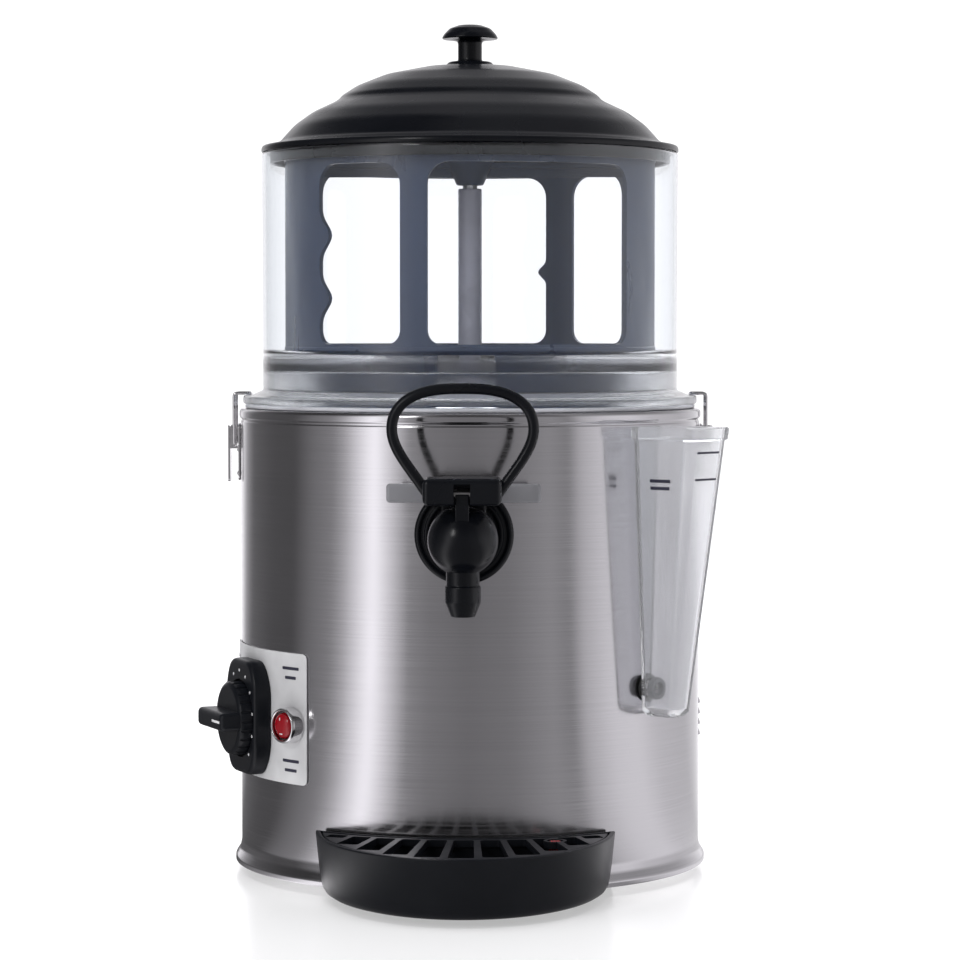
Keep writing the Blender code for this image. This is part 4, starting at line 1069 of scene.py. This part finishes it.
def slot_reach(centre, direction, outline):
    """How far from the centre a ray enters and leaves the outline."""
    found = []
    for one, two in zip(outline, outline[1:] + outline[:1]):
        edge = two - one
        offset = one - centre
        cross = direction.x * edge.y - direction.y * edge.x
        if abs(cross) < 1e-12:
            continue
        t = (offset.x * edge.y - offset.y * edge.x) / cross
        u = (offset.x * direction.y - offset.y * direction.x) / cross
        if -1e-6 <= u <= 1.0 + 1e-6 and t > 0.0:
            found.append(t)
    return (min(found), max(found)) if found else (0.0, 0.0)


# ---------------------------------------------------------------- rear and underside

def make_rear():
    gland = [
        (0.0040, 0.1520), (0.0086, 0.1520), (0.0094, 0.1500), (0.0110, 0.1480), (0.0110, 0.1404),
        (0.0080, 0.1404), (0.0080, 0.1260), (0.0040, 0.1260),
    ]
    gland = turned_mesh("gland", gland, 0.0008, 72, outward(180.0, INLET_Z))
    flats = []
    for k in range(8):
        turn = rotated(45.0 * k, "Z") @ moved(0.0128, 0.0, 0.1460)
        flats.append(
            block_mesh("flat", (0.0040, 0.0060, 0.0080), outward(180.0, INLET_Z) @ turn, 0.0008, 2),
        )
    show("inlet_gland", cut_mesh(gland, flats), SATIN_BLACK, "cable_inlet", sharp=32.0)
    cap_frame = moved(DRAIN.x, 0.0, 0.0) @ outward(180.0, DRAIN.z)
    cap = [
        (0, 0.1510), (0.0062, 0.1510), (0.0072, 0.1500), (0.0076, 0.1380), (0.0078, 0.1370),
        (0.0054, 0.1370), (0.0054, 0.1486), (0, 0.1486),
    ]
    show("drain_plug", turned_mesh("plug", cap, 0.0006, 64, cap_frame), RUBBER, "drain_cap", "drain_cap")


def make_feet():
    for index in range(4):
        centre = radial(45.0 + 90.0 * index, 0.1050, 0.0)
        profile = [
            (0, 0.0095), (0.0125, 0.0095), (0.0124, 0.0060), (0.0112, 0.0012), (0.0110, 0), (0.0060, 0),
            (0.0050, 0.0010), (0, 0.0010),
        ]
        foot = turned_mesh("foot", profile, 0.0006, 48, Matrix.Translation(centre))
        show(f"rubber_foot_{index + 1}", foot, RUBBER, f"foot_{index + 1}")


# ---------------------------------------------------------------- studio

def studio_brightness(tree, place):
    """The studio's brightness round the object, as a colour from a direction or a place on the floor."""
    apart = add_node(tree, "ShaderNodeSeparateXYZ", (place,))
    flip = add_node(tree, "ShaderNodeMath", (apart.outputs["Y"], -1.0), operation="MULTIPLY")
    sources = (apart.outputs["X"], flip.outputs[0])
    angle = add_node(tree, "ShaderNodeMath", sources, operation="ARCTAN2")
    share = mapped(tree, angle.outputs[0], -math.pi, math.pi, 0.0, 1.0)
    ramp = add_node(tree, "ShaderNodeValToRGB", (share,))
    stops = ramp.color_ramp.elements
    while len(stops) < len(STUDIO):
        stops.new(1.0)
    for stop, (azimuth, value) in zip(stops, STUDIO):
        stop.position = (azimuth + 180) / 360
        stop.color = (0.985 * value / BRIGHTEST, 0.97 * value / BRIGHTEST, value / BRIGHTEST, 1.0)
    return apart, ramp.outputs["Color"]


def make_floor():
    """A white table. The table's gloss mirrors the object, and the object mirrors the flags round it."""
    look = Look("studio_floor", Base_Color=(0.78, 0.78, 0.79), Roughness=0.18, Specular_IOR_Level=0.25)
    look.shader.inputs["Emission Color"].default_value = (1.0, 1.0, 1.0, 1.0)
    look.shader.inputs["Emission Strength"].default_value = 0.42
    tree = look.tree
    where = add_node(tree, "ShaderNodeTexCoord").outputs["Object"]
    _, colour = studio_brightness(tree, where)
    flags = add_node(tree, "ShaderNodeEmission", (colour, BRIGHTEST)).outputs[0]
    glossy = add_node(tree, "ShaderNodeLightPath").outputs["Is Glossy Ray"]
    mix = add_node(tree, "ShaderNodeMixShader", (glossy, look.shader.outputs[0], flags))
    look.link(mix.outputs[0], tree.nodes["Material Output"].inputs["Surface"])
    bm = bmesh.new()
    bmesh.ops.create_grid(bm, x_segments=2, y_segments=2, size=6.0)
    mesh = mesh_from("floor", bm)
    mesh.materials.append(look.material)
    floor = placed("floor", mesh)


def area_light(name, place, target, size, power, mirrored):
    lamp = bpy.data.lights.new(name, "AREA")
    lamp.shape = "RECTANGLE"
    lamp.size = size[0]
    lamp.size_y = size[1]
    lamp.energy = power
    obj = placed(name, lamp)
    obj.location = place
    obj.rotation_euler = (Vector(target) - Vector(place)).to_track_quat("-Z", "Y").to_euler()
    obj.visible_glossy = mirrored


def make_world():
    """Plain white where the camera looks, and the studio's lights and flags where the object mirrors it."""
    world = bpy.data.worlds.new("studio")
    bpy.context.scene.world = world
    world.use_nodes = True
    tree = world.node_tree
    tree.nodes.clear()
    where = add_node(tree, "ShaderNodeTexCoord").outputs["Generated"]
    apart, colour = studio_brightness(tree, where)
    height = mapped(tree, apart.outputs["Z"], 0.10, 0.65, BRIGHTEST, BRIGHTEST * 0.35)
    side = add_node(tree, "ShaderNodeBackground", (colour, height)).outputs[0]
    plain = add_node(tree, "ShaderNodeBackground", ((1.0, 1.0, 1.0, 1.0), 1.15)).outputs[0]
    inside = add_node(tree, "ShaderNodeBackground", ((0.93, 0.96, 1.0, 1.0), 0.95)).outputs[0]
    path = add_node(tree, "ShaderNodeLightPath").outputs
    depths = (path["Diffuse Depth"], path["Glossy Depth"])
    bounces = add_node(tree, "ShaderNodeMath", depths, operation="ADD").outputs[0]
    straight = add_node(tree, "ShaderNodeMath", (bounces, 0.5), operation="LESS_THAN").outputs[0]
    around = add_node(tree, "ShaderNodeMixShader", (path["Is Transmission Ray"], side, inside)).outputs[0]
    mix = add_node(tree, "ShaderNodeMixShader", (straight, around, plain))
    add_node(tree, "ShaderNodeOutputWorld", (mix.outputs[0],))


def make_camera():
    """At the height of the bowl's middle, a little to the right of the tap, looking slightly down."""
    distance = 2.0
    azimuth = 1.2
    data = bpy.data.cameras.new("camera")
    data.lens = 122.5
    data.sensor_width = 36.0
    data.clip_end = 50.0
    camera = placed("camera", data)
    camera.location = radial(azimuth, distance, 0.330, 0.0061)
    camera.rotation_euler = (math.radians(90.0 - 2.66), 0.0, math.radians(azimuth))
    bpy.context.scene.camera = camera


make_camera()
dress_nodes()
make_shell()
make_bowl()
make_stirrer()
make_lid()
make_tap()
make_handle()
make_controls()
make_filler()
make_latch(1, "right")
make_latch(-1, "left")
make_tray()
make_rear()
make_feet()
make_floor()
make_world()
area_light("top_light", (-0.3, -0.2, 2.2), (0, 0, 0), (2.2, 2.2), 34.0, False)
area_light("back_light", (0.4, 1.9, 1.3), (0, 0, 0.1), (2.4, 1.2), 24.0, False)
area_light("front_light", (-1.2, -2.0, 1.3), (0, 0, 0.25), (0.35, 0.7), 8.0, True)
bpy.context.scene.view_settings.view_transform = "Standard"
